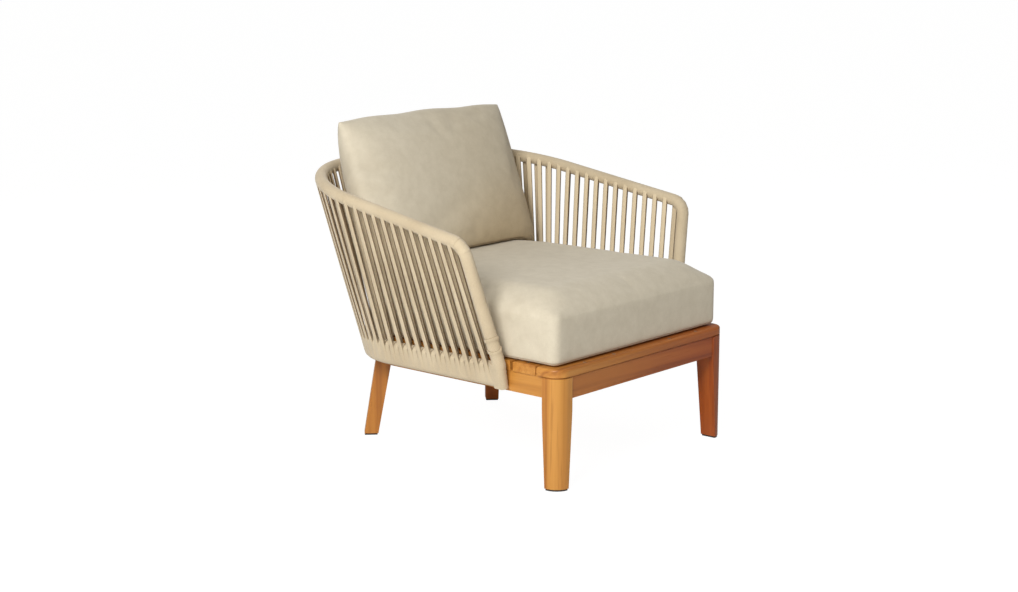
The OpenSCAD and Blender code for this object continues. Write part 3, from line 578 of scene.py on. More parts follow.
def lay(model, stations, closed=False, deep=0.0):
    """A copy of the unit rope laid along stations; returns its mesh data. Deep is 1 for a
    rope that lies behind others. It and how free the rope runs are kept at each point,
    because the finish uses them to paint shade on the free edges and painted light on the
    ropes behind."""
    mesh = model.data.copy()
    last = len(stations) - (0 if closed else 1)
    runs = [0.0]
    for one, two in zip(stations, stations[1:] + stations[:1]):
        runs.append(runs[-1] + (two.place - one.place).length)
    points = []
    for vert in mesh.vertices:
        w = min(max(vert.co.z, 0.0), 1.0) * last
        index = min(int(w), last - 1)
        share = w - index
        one, two = stations[index], stations[(index + 1) % len(stations)]
        middle = one.place.lerp(two.place, share)
        side = one.across.lerp(two.across, share).normalized()
        face = one.out.lerp(two.out, share).normalized()
        wide = blend(one.wide, two.wide, share)
        thick = blend(one.thick, two.thick, share)
        flat = blend(one.flat, two.flat, share)
        power = 1 - SQUARER * flat
        across = math.copysign(abs(vert.co.x) ** power, vert.co.x)
        height = math.copysign(abs(vert.co.y) ** power, vert.co.y)
        points.append((middle + side * across * wide / 2 + face * height * thick / 2,
                       blend(runs[index], runs[index + 1], share), across,
                       max(0.0, 1 - TIGHTER * flat)))
    layer = mesh.uv_layers.active or mesh.uv_layers.new(name="rope_map")
    for loop in mesh.loops:
        _, run, across, _ = points[loop.vertex_index]
        layer.data[loop.index].uv = (across * UV_HALF, run)
    # These carry the painted edge shade and the painted light of the ropes behind to the
    # finish.
    free = mesh.attributes.new("free", "FLOAT", "POINT")
    behind = mesh.attributes.new("behind", "FLOAT", "POINT")
    for vert, (point, _, _, loose) in zip(mesh.vertices, points):
        vert.co = (point - Vector((0, FRONT, 0))) / 1000
        free.data[vert.index].value = loose
        behind.data[vert.index].value = deep * loose
    return mesh


def flip_mesh(mesh):
    """The same rope on the chair's other side."""
    other = mesh.copy()
    other.transform(Matrix.Scale(-1, 4, Vector((1, 0, 0))))
    other.flip_normals()
    return other


def close_seams(piece, threshold):
    """Merges corners nearer than a threshold in metres and turns faces outwards."""
    make_active(piece)
    bpy.ops.object.mode_set(mode="EDIT")
    bpy.ops.mesh.select_all(action="SELECT")
    bpy.ops.mesh.remove_doubles(threshold=threshold)
    bpy.ops.mesh.normals_make_consistent(inside=False)
    bpy.ops.object.mode_set(mode="OBJECT")


def rope_piece(meshes, name):
    """Joins rope meshes to one piece, with doubled seam rings merged."""
    pieces = []
    for mesh in meshes:
        piece = bpy.data.objects.new(name, mesh)
        bpy.context.scene.collection.objects.link(piece)
        pieces.append(piece)
    piece = join(pieces, name)
    close_seams(piece, 0.00001)
    return settle(piece, name, 75)


print("ropes can be laid")

# %% [markdown]
# ## Strands
#
# A strand comes up out of the band, leans out to the rail and goes over it. The outer
# layer runs on the outside of the bar and the tube, the inner layer on the inside,
# half a step further on. One strand could be copied along the rail with an array, but
# the two lines aren't parallel, so each strand has its own length, lean and twist.
# Low down a strand spreads a little, where it joins the turns round the bar.

# %% A strand's path
BAR_LEVEL = BAND_T / 2 - ROPE_T / 2 + 0.25     # a strand's middle from the bar's
RAIL_LEVEL = TUBE_R + ROPE_T / 2 + 0.1         # and from the tube's
# Under the bar: the angle round its lower edge, and how deep the strand is sunk there.
UNDER_BAR = ((-95, 3.0), (-65, 0.8), (-35, 0.2))
# Up the bar: the height on the band, the strand's width and how flat it is pressed.
UP_BAR = ((-18, 14.9, 1.0), (-4, 14.9, 1.0), (5, 14.5, 0.95), (12, 14.0, 0.8),
          (18, 13.6, 0.5), (24, 13.3, 0.25))
BOW, FREE_RUN = 0.6, (0.08, 0.2, 0.35, 0.5, 0.65, 0.8, 0.92)
# Over the rail, for each degree: how much lower and wider a strand gets.
OVER_RAIL, SINK, SPREAD, PRESS_END = range(0, 61, 10), 0.035, 0.02, 120


def strand_stations(part, layer):
    """Stations of the strand at a part of the right half; layer is 1 outside and -1
    inside."""
    way, up, outward = band_axes(part)
    head, along = rail_point(part), rail_way(part)
    side = (way + along).normalized()
    lift = (head - band_point(part, BAND_UP)).normalized()
    out = side.cross(lift).normalized() * layer
    face = outward * layer
    stations = []
    for turn, sunk in UNDER_BAR:
        angle = math.radians(turn)
        ray = face * math.cos(angle) + up * math.sin(angle)
        stations.append(Station(band_point(part, -BAND_UP) + ray * (BAR_LEVEL - sunk),
                                way, ray, ROPE_W, ROPE_T, 1.0))
    for height, wide, flat in UP_BAR:
        stations.append(Station(band_point(part, height) + face * BAR_LEVEL, way, face,
                                wide, ROPE_T, flat))
    start = stations[-1].place
    end = head + out * RAIL_LEVEL
    for share in FREE_RUN:
        bow = math.sin(math.pi * share) * BOW
        stations.append(Station(start.lerp(end, share) + out * bow,
                                way.lerp(along, share),
                                face.lerp(out, min(1, share * 4)), ROPE_W, ROPE_T, 0.0))
    for turn in OVER_RAIL:
        angle = math.radians(turn)
        ray = out * math.cos(angle) + lift * math.sin(angle)
        stations.append(Station(head + ray * (RAIL_LEVEL - turn * SINK), along, ray,
                                ROPE_W + turn * SPREAD, ROPE_T, turn / PRESS_END))
    return stations


def strand_part(number):
    """The part at which a strand stands; a half number is between two strands."""
    return part_at(rail_line, FIRST + number * STEP)


def strands(first, last):
    """The outer strands from first to last, each with the inner one after it."""
    meshes = []
    for number in range(first, last + 1):
        meshes.append(lay(strand_model, strand_stations(strand_part(number), 1)))
        if number + 0.5 <= STRANDS / 2 - 1:
            meshes.append(lay(strand_model, strand_stations(strand_part(number + 0.5), -1),
                              deep=1.0))
    return meshes


side_end = side_length(rail_line)
side_count = math.ceil((side_end - FIRST) / STEP)
corner_count = math.ceil((side_end + arc_length(rail_line) - FIRST) / STEP)
side_meshes = strands(0, side_count - 1)
corner_meshes = strands(side_count, corner_count - 1)
back_meshes = strands(corner_count, STRANDS // 2 - 1)
middle_mesh = lay(strand_model, strand_stations(3.0, -1), deep=1.0)
rope_pieces = {
    "strands_left": rope_piece([flip_mesh(m) for m in side_meshes], "side_strands_left"),
    "strands_corner_left": rope_piece([flip_mesh(m) for m in corner_meshes],
                                      "corner_strands_left"),
    "strands_back": rope_piece([flip_mesh(m) for m in back_meshes] + back_meshes
                               + [middle_mesh], "back_strands"),
    "strands_right": rope_piece(side_meshes, "side_strands_right"),
    "strands_corner_right": rope_piece(corner_meshes, "corner_strands_right"),
}
for piece in rope_pieces.values():
    print(piece.name, len(piece.data.polygons), "faces")

# %% [markdown]
# ## Turns round the bar
#
# Between the strands the rope goes on round the bar, one flat turn beside the other.
# A bump pattern on a plain band would give the grooves, but not the stepped outline
# along the upper edge, so each turn is a closed loop of its own. Over the bar's upper
# edge the turns are squeezed together, so a narrow groove is left at each side of a
# strand, which closes lower down where the turns lie flat.

# %% Turns round the bar
QUARTER = 6                          # stations down each side and round each edge
LOOSE_FROM, NARROWER, LOOSER = 30, 0.16, 0.7   # how a turn narrows near the upper edge
OVERLAP, MIDDLE_OVERLAP = 0.8, 0.7   # how far a turn goes under its neighbours
FRONT_PITCH, FRONT_W = 15.4, 16.0    # the turns before the first strand


def bar_turn(part, wide):
    """One turn round the bar, centred on a part of the right half: down the outside,
    round the lower edge, up the inside and over the upper edge."""
    way, up, outward = band_axes(part)
    level = BAND_T / 2 - ROPE_T / 2
    loop = []
    for step in range(4 * QUARTER):
        quarter, done = divmod(step + 0.5, QUARTER)
        if quarter in (0, 2):
            side = 1 - quarter
            height = side * (BAND_UP - done * 2 * BAND_UP / QUARTER)
            out, ray = side * level, outward * side
        else:
            edge = quarter - 2
            angle = (1 + edge) * math.pi / 2 - math.pi * done / QUARTER
            height = edge * BAND_UP + level * math.sin(angle)
            out = level * math.cos(angle)
            ray = outward * math.cos(angle) + up * math.sin(angle)
        free = max(0.0, min(1.0, height / LOOSE_FROM))
        loop.append(Station(band_point(part, height, out), way, ray,
                            wide * (1 - NARROWER * free), ROPE_T, 1 - LOOSER * free))
    return loop


low_step = [(band_point(strand_part(n * 0.5))
             - band_point(strand_part(n * 0.5 + 0.5))).length for n in range(STRANDS - 1)]
turns = [lay(turn_model, bar_turn(strand_part(count * 0.5), gap + OVERLAP), True)
         for count, gap in enumerate(low_step)]
turns += [flip_mesh(m) for m in turns]
turns.append(lay(turn_model, bar_turn(3.0, low_step[-1] + MIDDLE_OVERLAP), True))
for number in (1, 2):
    part = strand_part(0) - number * FRONT_PITCH / side_length(bar_line)
    turns.append(lay(turn_model, bar_turn(part, FRONT_W), True))
    turns.append(flip_mesh(turns[-1]))
print(len(turns), "turns round the bar, pitch", round(low_step[0], 1), "mm")

# %% [markdown]
# ## The rope's turns round the posts and the rail
#
# Each post is wound from the arm down to the bar, and the rail from the arms to the
# middle of the back. One long helix would be true to the craft, but its ends and its
# pitch would have to be matched at every bend. Closed rings that lie side by side,
# each slanted a little, look the same and close everywhere. Near the foot two turns
# cross over the others, where the rope's end is tucked in.

# %% Rings round the tube
RING_STEPS, RING_SLANT = 24, 0.12
NOSE_EDGE, NOSE_STEP = 6.5, 12.9     # the rows of rope on the bar's front end
TUBE_BEND = 42.0
POST_PARTS, BEND_PARTS, RAIL_PARTS = 24, 12, 150


def ring(middle, way, across, radius, wide, slant=RING_SLANT, stretch=None,
         inward=None, flat=0.7):
    """A flat turn round an axis, begun at the side across; stretch adds a straight run
    along a direction, and inward points to the middle of a bend, which widens the turn
    on the far side."""
    other = way.cross(across)
    loop = []
    for step in range(RING_STEPS):
        angle = 2 * math.pi * step / RING_STEPS
        ray = across * math.cos(angle) + other * math.sin(angle)
        place = middle + ray * (radius - ROPE_T / 2) + way * slant * wide * math.sin(angle)
        if stretch is not None and ray.dot(stretch) > 0:
            place += stretch
        fan = 1 - ray.dot(inward) * radius if inward is not None else 1
        loop.append(Station(place, way, ray, wide * fan, ROPE_T, flat))
    return loop


def post_and_rail():
    """The tube's middle line from a post's foot to the middle of the back."""
    foot = band_point(0, BAND_H / 2 - NOSE_EDGE)
    corner = rail_point(0)
    post_way = (corner - foot).normalized()
    arm_way = rail_way(0)
    turn = math.acos(post_way.dot(arm_way))
    run = TUBE_BEND * math.tan(turn / 2)
    inward = (arm_way - post_way * arm_way.dot(post_way)).normalized()
    start = corner - post_way * run
    centre = start + inward * TUBE_BEND
    points = [foot.lerp(start, n / POST_PARTS) for n in range(POST_PARTS)]
    for n in range(BEND_PARTS + 1):
        angle = turn * n / BEND_PARTS
        points.append(centre - inward * TUBE_BEND * math.cos(angle)
                      + post_way * TUBE_BEND * math.sin(angle))
    first = run / side_length(rail_line)
    points += [rail_point(first + (3 - first) * n / RAIL_PARTS)
               for n in range(1, RAIL_PARTS + 1)]
    return points


def even_places(points, pitch, start=0.0):
    """Points every pitch along a line of points, each with its direction."""
    found, left = [], start
    for one, two in zip(points, points[1:]):
        length = (two - one).length
        while left <= length:
            found.append((one.lerp(two, left / length), (two - one).normalized()))
            left += pitch
        left -= length
    return found


print("rings can be laid round the tube")

# %% Winding the posts and the rail
WIND_START, WIND_PITCH = 4.0, 12.6
STEEP, POST_END_Y = 0.45, 232        # what belongs to a post and not to the rail
SLANT_FADE = 150                     # near the middle of the back the slant dies out
CROSSING = ((3, 0.55), (5, -0.45))   # which places on the post, and how they slant
CROSS_OUT, CROSS_W = 2.2, 9.5
tube_line = post_and_rail()
tube_length = sum((two - one).length
                  for one, two in zip(tube_line, tube_line[1:])) - WIND_START
# Half a turn over, so that the two halves meet side by side at the middle.
WIND = tube_length / (math.floor(tube_length / WIND_PITCH) + 0.5)
places = even_places(tube_line, WIND, WIND_START)
post_rings, rail_rings = [], []
across = places[0][1].orthogonal()
for index, (middle, way) in enumerate(places):
    # The side that a ring begins at is carried on, so that no ring turns on the next.
    across = (across - way * across.dot(way)).normalized()
    before = places[max(index - 1, 0)][1]
    after = places[min(index + 1, len(places) - 1)][1]
    rings = post_rings if way.z > STEEP and middle.y < POST_END_Y else rail_rings
    slant = RING_SLANT * min(1.0, abs(middle.x) / SLANT_FADE)
    rings.append(lay(turn_model, ring(middle, way, across, WRAP_R, WIND * 1.08, slant,
                                      inward=(after - before) / (2 * WIND)), True))
for count, slant in CROSSING:
    middle, way = places[count]
    post_rings.append(lay(turn_model, ring(middle, way, way.orthogonal().normalized(),
                                           WRAP_R + CROSS_OUT, CROSS_W, slant,
                                           flat=0.2), True))
print(len(post_rings), "turns round a post and", len(rail_rings), "round half the rail")

# %% [markdown]
# ## The bar's front ends
#
# At its front end the bar is wound lengthways, so that no metal shows. Five turns lie
# on one another, each drawn out a little more than the one below, as the rope builds
# up towards the post. They are the same rings again, stretched along the bar.

# %% The bar's front ends
NOSE_SWELL = (0.4, 1.0, 1.6, 2.4, 3.4)
NOSE_RUN, NOSE_W, NOSE_SLANT = 14, 13.6, 0.03
for number, swell in enumerate(NOSE_SWELL):
    level = -BAND_H / 2 + NOSE_EDGE + number * NOSE_STEP
    way, up, outward = band_axes(0)
    post_rings.append(lay(turn_model, ring(band_point(0, level), up, outward,
                                           BAND_T / 2 + swell, NOSE_W, NOSE_SLANT,
                                           stretch=way * NOSE_RUN, flat=0.9), True))
post = rope_pieces["post_wrap_right"] = rope_piece(post_rings, "post_winding_right")
rope_pieces["post_wrap_left"] = rope_piece([flip_mesh(post.data)], "post_winding_left")
rope_pieces["rail_wrap"] = rope_piece(rail_rings + [flip_mesh(m) for m in rail_rings],
                                      "rail_winding")
rope_pieces["band_wrap"] = rope_piece(turns, "band_winding")
for node, piece in rope_pieces.items():
    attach(piece, "frame")
    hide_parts(node)
for model in (strand_model, turn_model):
    bpy.data.objects.remove(model)
print("rope pieces:", sum(len(p.data.polygons) for p in rope_pieces.values()), "faces")

# %% [markdown]
# ## Rope finish
#
# The braid is a soft beige with a slight sheen. Its plaits could be modelled, but
# they are 2 mm wide, and thousands of them would weigh more than the chair. Two sets
# of slanting ribs that cross make the braid instead, with painted shade in its
# grooves, and a slow change of tone keeps long stretches from looking printed. The
# edges of a free strand get painted shade, and the inner layer, which the light comes
# through, is painted a little paler as painted light.

# %% Rope finish
RIBS, RIB_WOBBLE = 0.19, 0.6
ROPE_TONES = ((0.32, (0.56, 0.455, 0.305)), (0.5, (0.64, 0.535, 0.37)),
              (0.68, (0.71, 0.605, 0.435)))
ROPE_GROOVE_SHADE, ROPE_PAINTED_LIGHT = (0.38, 0.29, 0.19), (0.82, 0.69, 0.48)
ROPE_EDGE_SHADE = (0.20, 0.13, 0.075)


def braid():
    finish = Finish("braided_rope")
    place = finish.uv_place()
    mirrored = finish.uv_place((-1, 1, 1))
    ribs = (finish.wave(place, "DIAGONAL", RIBS, RIB_WOBBLE)
            * finish.wave(mirrored, "DIAGONAL", RIBS, RIB_WOBBLE))
    slow = finish.noise(finish.object_place(), 9.0, 2.0)
    speck = finish.noise(finish.object_place(), 420.0, 3.0)
    free, behind = finish.attribute("free"), finish.attribute("behind")
    across = abs(finish.coordinate(place, "X"))
    # Painted shade along the edges of free strands, wider on the ropes behind.
    edge = finish.steps(across + behind * 0.4, 5.0, UV_HALF) * free
    colour = finish.ramp(slow * 0.6 + speck * 0.4, *ROPE_TONES)
    # Painted shade in the grooves of the braid.
    colour = finish.mix((1 - ribs) * 0.16, colour, ROPE_GROOVE_SHADE)
    # Painted light: the ropes behind the outer layer are made paler.
    colour = finish.mix(behind * 0.55, colour, ROPE_PAINTED_LIGHT)
    colour = finish.tint(edge * 0.92, colour, ROPE_EDGE_SHADE)
    return finish.surface(Base_Color=colour, Roughness=0.78 + speck * 0.12,
                          Sheen_Weight=0.25, Sheen_Roughness=0.5,
                          Specular_IOR_Level=0.25,
                          Normal=finish.bump(ribs + speck * 0.5, 0.0004, 0.5))


rope_finish = braid()
for piece in rope_pieces.values():
    dress(piece, rope_finish)
print("rope dressed")

# %% [markdown]
# ## Seat cushion
#
# The seat cushion is a thick foam block in a tight cover without piping. Its top is
# crowned, its edges are soft, its front corners are near square and its rear corners
# are round to fit the shell. A box with a bevel and a subdivision surface would round
# all its corners alike. So the block is cut into small squares, and each of its
# points is moved by its place, which sets every radius on its own.

# %% Helpers for cushions
def block(name, size, cuts):
    """A box round the origin, cut evenly along each axis."""
    deselect()
    bpy.ops.mesh.primitive_cube_add(size=1)
    piece = bpy.context.object
    piece.scale = size
    bpy.ops.object.transform_apply(location=True, rotation=True, scale=True)
    bpy.ops.object.mode_set(mode="EDIT")
    bpy.ops.mesh.select_mode(type="EDGE")
    for axis, count in enumerate(cuts):
        pick(piece, "edges", lambda middle, edge: abs((edge.verts[0].co - edge.verts[1].co)
                                                      [axis]) > 0.9 * size[axis])
        bpy.ops.mesh.subdivide(number_cuts=count)
    bpy.ops.object.mode_set(mode="OBJECT")
    piece.name = piece.data.name = name
    return piece


def soft_block(place, half, edge, corner):
    """Moves a point of a box's skin to the same box with round edges and corners. Edge
    is the radius of its upper and lower rims, and corner the radius of its plan."""
    centre = Vector((half.x - corner, half.y - corner))
    dx, dy, z = abs(place.x) - centre.x, abs(place.y) - centre.y, abs(place.z)
    reach = max(dx, dy)
    if dx > 0 and dy > 0:
        ray = Vector((dx, dy)).normalized()
    else:
        ray = Vector((1, 0)) if dx > dy else Vector((0, 1))
    start = Vector((centre.x if dx > 0 or dx > dy else abs(place.x),
                    centre.y if dy > 0 or dy >= dx else abs(place.y)))
    out, rise = reach - (corner - edge), z - (half.z - edge)
    if out > 0 and rise > 0:
        pull = max(out, rise) / math.hypot(out, rise)
        reach, z = corner - edge + out * pull, half.z - edge + rise * pull
    plan = start + ray * reach
    return Vector((math.copysign(plan.x, place.x), math.copysign(plan.y, place.y),
                   math.copysign(z, place.z)))


def crown(u, zone):
    """1 over most of the cushion, falling to 0 at its edge."""
    edge = max(0.0, (1 - abs(u)) / zone)
    return 1.0 if edge > 1 else math.sin(edge * math.pi / 2)


def smooth_part(piece, test, repeat):
    """Evens out the corners whose place passes a test."""
    make_active(piece)
    bpy.ops.object.mode_set(mode="EDIT")
    bpy.ops.mesh.select_mode(type="VERT")
    pick(piece, "verts", test)
    bpy.ops.mesh.vertices_smooth(factor=0.5, repeat=repeat)
    bpy.ops.object.mode_set(mode="OBJECT")


print("cushion helpers ready")

# %% Seat cushion block
seat_low, seat_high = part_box("seat_cushion_cover")
EDGE_H, CROWN, EDGE_R = 0.121, 0.044, 0.013
FRONT_CORNER_R, REAR_CORNER_R = 0.022, 0.150
CROWN_SIDE, CROWN_FRONT, CROWN_REAR = 0.28, 0.28, 0.22
ROOM, LIFT = 0.997, 0.0005           # a hair smaller than the CAD, and off the slats
REAR_ZONE = 0.17
seat_size = Vector((seat_high.x - seat_low.x, seat_high.y - seat_low.y, EDGE_H)) * ROOM
seat_middle = Vector((0, (seat_high.y + seat_low.y) / 2, seat_low.z + EDGE_H / 2 + LIFT))
half = seat_size / 2
seat_cushion = block("seat_cushion_soft", seat_size, (83, 85, 15))
for vert in seat_cushion.data.vertices:
    u, v, top = vert.co.x / half.x, vert.co.y / half.y, vert.co.z > half.z * 0.999
    place = soft_block(vert.co, half, EDGE_R, REAR_CORNER_R if v > 0 else FRONT_CORNER_R)
    if top:
        place.z += (CROWN * crown(u, CROWN_SIDE) ** 0.85
                    * crown(v, CROWN_FRONT if v < 0 else CROWN_REAR))
    vert.co = place + seat_middle
smooth_part(seat_cushion,
            lambda place, vert: place.z > seat_middle.z + half.z * 0.7
            and place.y > seat_middle.y + half.y - REAR_ZONE
            and abs(place.x) > half.x - REAR_ZONE, 24)
print("seat cushion block", len(seat_cushion.data.polygons), "faces")

# %% [markdown]
# ## Back cushion
#
# The back cushion is a stuffed pillow: two panels sewn together at their rim, with
# pointed corners and a full middle. It stands on the seat cushion and leans back on
# the rail. Two flat sheets blown up as cloth would give a pillow too, but its outline
# and its folds would fall where they like. So the filled shape is set by a formula,
# and a few soft folds run in from the seam, where the filling has settled.

# %% Back cushion pillow
TILT = math.radians(19.3)
PILLOW_W, PILLOW_H, PILLOW_Y, PILLOW_Z = 0.630, 0.375, 0.613, 0.4562
FULL_FRONT, FULL_BACK = 0.060, 0.118
RIM_POWER, FOOT_POWER, FULLNESS = 2.4, 5, 0.46
WAIST, NARROWING, SAG = 0.022, 0.016, 0.030
CORNER_UP, MIDDLE_UP, RIPPLE = 0.004, 0.010, 0.0018
pillow_foot = Vector((0, PILLOW_Y - FRONT / 1000, PILLOW_Z))
pillow_turn = Matrix.Rotation(-TILT, 4, "X")
# Each fold runs from one place to another on the front, u to the right and v up,
# with its half width and its height; below zero it is a dent.
FOLDS = [((-0.98, 0.30), (-0.62, 0.16), 0.085, -0.010),
         ((-0.98, 0.52), (-0.66, 0.46), 0.075, 0.003),
         ((-0.55, -0.80), (0.12, -0.28), 0.13, -0.006),
         ((0.55, -0.98), (0.60, -0.60), 0.12, -0.003),
         ((0.96, -0.70), (0.62, -0.50), 0.10, -0.003),
         ((0.10, 0.98), (0.04, 0.66), 0.10, 0.003)]


def fold_height(u, v):
    total = 0.0
    for (u1, v1), (u2, v2), wide, high in FOLDS:
        run = (u2 - u1, v2 - v1)
        share = ((u - u1) * run[0] + (v - v1) * run[1]) / (run[0] ** 2 + run[1] ** 2)
        nearest = max(0.0, min(1.0, share))
        off = math.hypot(u - u1 - run[0] * nearest, v - v1 - run[1] * nearest)
        total += high * math.exp(-(off / wide) ** 2) * (1 - 0.7 * nearest)
    return total


def pillow_point(u, t, v):
    """The pillow's skin: u across and v up are -1 to 1, t is -1 in front, 1 behind."""
    # Flat at the rim and full in the middle, and fuller near the foot than the top.
    full = ((1 - abs(u) ** RIM_POWER)
            * (1 - abs(v) ** (RIM_POWER if v > 0 else FOOT_POWER)))
    full = max(0.0, full) ** FULLNESS
    swell = (FULL_FRONT if t < 0 else FULL_BACK) * full
    # The sides are drawn in between the corners, and the top edge rises and ripples.
    waist = 1 - WAIST * (1 - v * v) * abs(u) ** 6
    rise = CORNER_UP + MIDDLE_UP * (1 - u * u) + RIPPLE * math.sin(9 * u + 1)
    sag = SAG * max(0.0, -v - 0.5) ** 2 * 4
    x = u * PILLOW_W / 2 * waist * (1 - NARROWING * v)
    z = (v * 0.5 + 0.5) * PILLOW_H + rise * max(v, 0) ** 8 - sag
    y = t * swell - (fold_height(u, v) * full ** 0.5 if t < 0 else 0)
    return pillow_foot + pillow_turn @ Vector((x, y, z))


pillow = block("back_cushion_soft", (2, 2, 2), (63, 1, 43))
for vert in pillow.data.vertices:
    vert.co = pillow_point(*vert.co)
close_seams(pillow, 0.0001)
print("pillow", len(pillow.data.polygons), "faces")

# %% [markdown]
# ## Puffing the cushions up
#
# A cover under pressure bulges evenly and keeps soft dents near its seams. Smoothing
# would take the dents away with the corners. So each shape is run as cloth, with
# pressure inside and no gravity, and each point is kept within a few millimetres of
# where it started.

# %% Cloth simulation
CLOTH_FRAMES, PRESSURE, STIFF, BEND = 20, 4.0, 18, 1.2
SEAT_CAP, PILLOW_CAP = 0.004, 0.006


def puff(piece, cap):
    """Blows a cushion up as cloth and holds each point within the cap."""
    make_active(piece)
    start = [v.co.copy() for v in piece.data.vertices]
    cloth = piece.modifiers.new("cover", "CLOTH")
    cloth.settings.quality = 5
    cloth.settings.use_pressure = True
    cloth.settings.uniform_pressure_force = PRESSURE
    cloth.settings.effector_weights.gravity = 0
    cloth.settings.tension_stiffness = cloth.settings.compression_stiffness = STIFF
    cloth.settings.bending_stiffness = BEND
    scene = bpy.context.scene
    for number in range(1, CLOTH_FRAMES + 1):
        scene.frame_set(number)
    apply_modifiers(piece)
    for vert, was in zip(piece.data.vertices, start):
        moved = vert.co - was
        if moved.length > cap:
            vert.co = was + moved.normalized() * cap
    scene.frame_set(1)


puff(seat_cushion, SEAT_CAP)
puff(pillow, PILLOW_CAP)
for piece in (seat_cushion, pillow):
    finer = piece.modifiers.new("finer", "SUBSURF")
    finer.levels = finer.render_levels = 1
    apply_modifiers(piece)
    settle(piece, piece.name, 70)
    print(piece.name, len(piece.data.polygons), "faces")

# %% [markdown]
# ## The back cushion rests on the seat
#
# Where one cushion stands on another, both give way. A collision in the cloth run
# would find that shape, but slowly, and a little differently each time its settings
# change. So a ray is sent down on the seat cushion for each low point of the pillow,
# which is lifted to what the ray hits. How near it is to the seat is kept, because
# the fabric gets a painted contact shadow there.

# %% The back cushion rests on the seat
SOFT, SKIN = 0.004, 0.0012           # how gently it gives way, and the gap that is left
NEAR_SEAT, RIM = 0.50, 0.03


def rest_height(place):
    hit, point, _, _ = seat_cushion.ray_cast(Vector((place.x, place.y, 1)),
                                             Vector((0, 0, -1)))
    return (point.z if hit else pillow_foot.z) + SKIN


low = [vert for vert in pillow.data.vertices if vert.co.z < NEAR_SEAT]
# How near each low point is to the seat, kept for the painted contact shadow on the cloth.
contact = pillow.data.attributes.new("contact", "FLOAT", "POINT")
rested = 0
for vert in low:
    over = vert.co.z - rest_height(vert.co)
    rested += over < 0
    contact.data[vert.index].value = math.exp(-(over / SOFT) ** 2)
    vert.co.z += SOFT * math.log1p(math.exp(over / SOFT)) - over
smooth_part(pillow, lambda place, vert: place.z < pillow_foot.z + RIM, 12)
for vert in pillow.data.vertices:
    if vert.co.z < NEAR_SEAT:
        vert.co.z = max(vert.co.z, rest_height(vert.co))
print(rested, "corners of the pillow rest on the seat")

# %% [markdown]
# ## Cushion fabric
#
# The covers are a plain outdoor weave of warm grey and sand yarns. Real threads would
# need millions of faces, and from a metre off they don't show one by one. So three
# sets of fine waves make the weave, and a faint mottle keeps the cloth from looking
# like paper. On the pillow, shade is painted into the cloth: darker and warmer low on
# the right, a little darker over its right half, and a painted contact shadow along
# the line where it stands on the seat.

# %% Cushion fabric
THREADS, THREAD_WOBBLE = 260.0, 0.5
SEAM_UP, SEAM_W, SEAM_SOFT = 0.009, 0.0004, 0.0018


def woven_cloth(name, painted_shade, seam):
    """The cover's cloth. The second argument is how much painted shade, darker and warmer,
    it gets low on the right; when it is not zero, the right half also gets painted shade
    and the line on the seat gets a painted contact shadow. Seam is the height of a seam
    that runs round the sides."""
    finish = Finish(name)
    place = finish.object_place()
    x, z = finish.coordinate(place, "X"), finish.coordinate(place, "Z")
    warp, weft, third = (finish.wave(place, axis, THREADS, THREAD_WOBBLE)
                         for axis in "XZY")
    weave = (warp + weft + third) * 0.33
    mottle = finish.noise(place, 38.0, 4.0, 0.6)
    yarn = finish.noise(place, 900.0, 2.0)
    colour = finish.ramp(mottle * 0.5 + yarn * 0.5, (0.35, (0.60, 0.54, 0.42)),
                         (0.65, (0.70, 0.64, 0.515)))
    colour = finish.mix(weave * 0.10, colour, (0.46, 0.39, 0.29))
    if painted_shade:
        # Painted shade: darker and warmer low on the right of the pillow.
        low = finish.steps(z * -1 + x * 0.25, -0.66, -0.46) * finish.steps(x, -0.25, 0.10)
        colour = finish.tint(low * painted_shade, colour, (0.80, 0.68, 0.50))
        # Painted shade: the pillow's right half a little darker.
        right = finish.steps(x, -0.16, 0.14)
        colour = finish.tint(right * 0.4, colour, (0.83, 0.78, 0.68))
        # Painted contact shadow where the pillow stands on the seat.
        contact_shadow = finish.attribute("contact")
        colour = finish.tint(contact_shadow * 0.8, colour, (0.30, 0.20, 0.12))
    line = 1 - finish.steps(abs(z - seam), SEAM_W, SEAM_SOFT)
    colour = finish.tint(line * 0.5, colour, (0.45, 0.38, 0.30))
    return finish.surface(Base_Color=colour, Roughness=0.9, Sheen_Weight=0.2,
                          Sheen_Roughness=0.5, Specular_IOR_Level=0.2,
                          Normal=finish.bump(weave + yarn * 0.4 - line * 3, 0.0003, 0.4))


dress(seat_cushion, woven_cloth("seat_cloth", 0.0, seat_low.z + SEAM_UP))
dress(pillow, woven_cloth("pillow_cloth", 0.6, 0.0))
for piece, body, filling, fill in ((seat_cushion, "seat_cushion", "seat_cushion_foam", 0.8),
                                   (pillow, "back_cushion", "back_cushion_fill", 0.7)):
    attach(piece, body)
    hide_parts(body + "_cover", filling)
print("cushions dressed")

# %% [markdown]
# ## Floor, backdrop and light
#
# The chair stands in a white room. A plain white floor under a lamp turns grey
# towards its far end, so part of its white is a glow that only the camera sees, and
# what is left keeps a faint shadow. The world is white to the camera too, but lights
# the chair softly. A large lamp from the chair's left gives the form, a weak one in
# front opens the shade, and one from behind draws the rims.

# %% Floor
FLOOR_SIZE, FLOOR_DROP = 140, 0.0005
GLOW, GLOW_SHARE = 1.08, 0.90


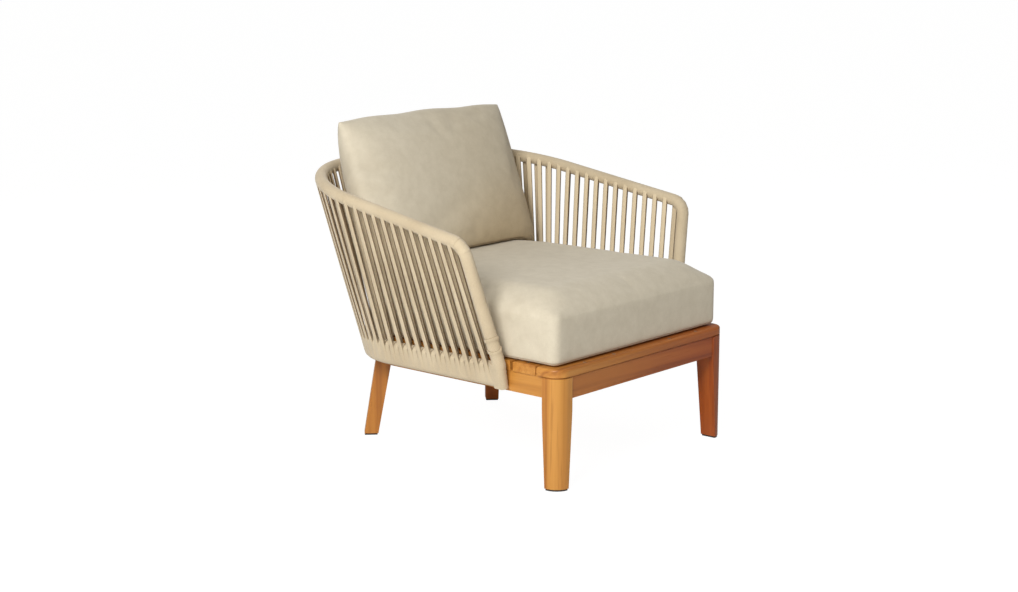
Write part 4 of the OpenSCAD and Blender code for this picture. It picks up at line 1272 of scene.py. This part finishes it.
def pale_floor():
    finish = Finish("pale_floor")
    path = finish.node("ShaderNodeLightPath")
    grain = finish.noise(finish.object_place(), 3.0)
    matt = finish.node("ShaderNodeBsdfDiffuse", {}, {"Color": finish.ramp(
        grain, (0.3, (0.80, 0.80, 0.79)), (0.7, (0.82, 0.82, 0.81)))})
    glow = finish.node("ShaderNodeEmission", {}, {"Color": (1, 1, 1), "Strength": GLOW})
    return finish.close(finish.node("ShaderNodeMixShader", {},
                                    {0: path * GLOW_SHARE, 1: matt, 2: glow}))


deselect()
bpy.ops.mesh.primitive_plane_add(size=FLOOR_SIZE, location=(0, 0, -FLOOR_DROP))
floor = bpy.context.object
settle(floor, "floor")
dress(floor, pale_floor())
print("floor laid")

# %% World and lamps
world = bpy.data.worlds.new("studio")
bpy.context.scene.world = world
world.use_nodes = True
sky = world.node_tree
sky.nodes.clear()


def background(colour, strength):
    """A sky of one colour."""
    new = sky.nodes.new("ShaderNodeBackground")
    new.inputs["Color"].default_value = (*colour, 1)
    new.inputs["Strength"].default_value = strength
    return new.outputs[0]


path = sky.nodes.new("ShaderNodeLightPath")
seen = sky.nodes.new("ShaderNodeMixShader")
sky.links.new(path.outputs["Is Camera Ray"], seen.inputs[0])
sky.links.new(background((1.0, 0.985, 0.96), 0.30), seen.inputs[1])
sky.links.new(background((1, 1, 1), 1.0), seen.inputs[2])
out = sky.nodes.new("ShaderNodeOutputWorld")
sky.links.new(seen.outputs[0], out.inputs[0])


LAMP_AIM = Vector((0, 0, 0.35))


def lamp(name, place, power, size, colour=(1, 1, 1)):
    """A square lamp of a size in metres that shines on the middle of the chair."""
    data = bpy.data.lights.new(name, "AREA")
    data.energy, data.size, data.color = power, size, colour
    light = bpy.data.objects.new(name, data)
    bpy.context.scene.collection.objects.link(light)
    light.location = place
    aim = LAMP_AIM - Vector(place)
    light.rotation_euler = aim.to_track_quat("-Z", "Y").to_euler()


lamp("key", (-3.3, -1.3, 2.4), 130, 1.4, (1, 0.98, 0.945))
lamp("fill", (1.6, -3.4, 2.2), 7, 2.6, (1, 0.95, 0.88))
lamp("rim", (1.5, 2.8, 2.6), 30, 2.0)
bpy.context.scene.view_settings.view_transform = "Standard"
print("stage and light ready")
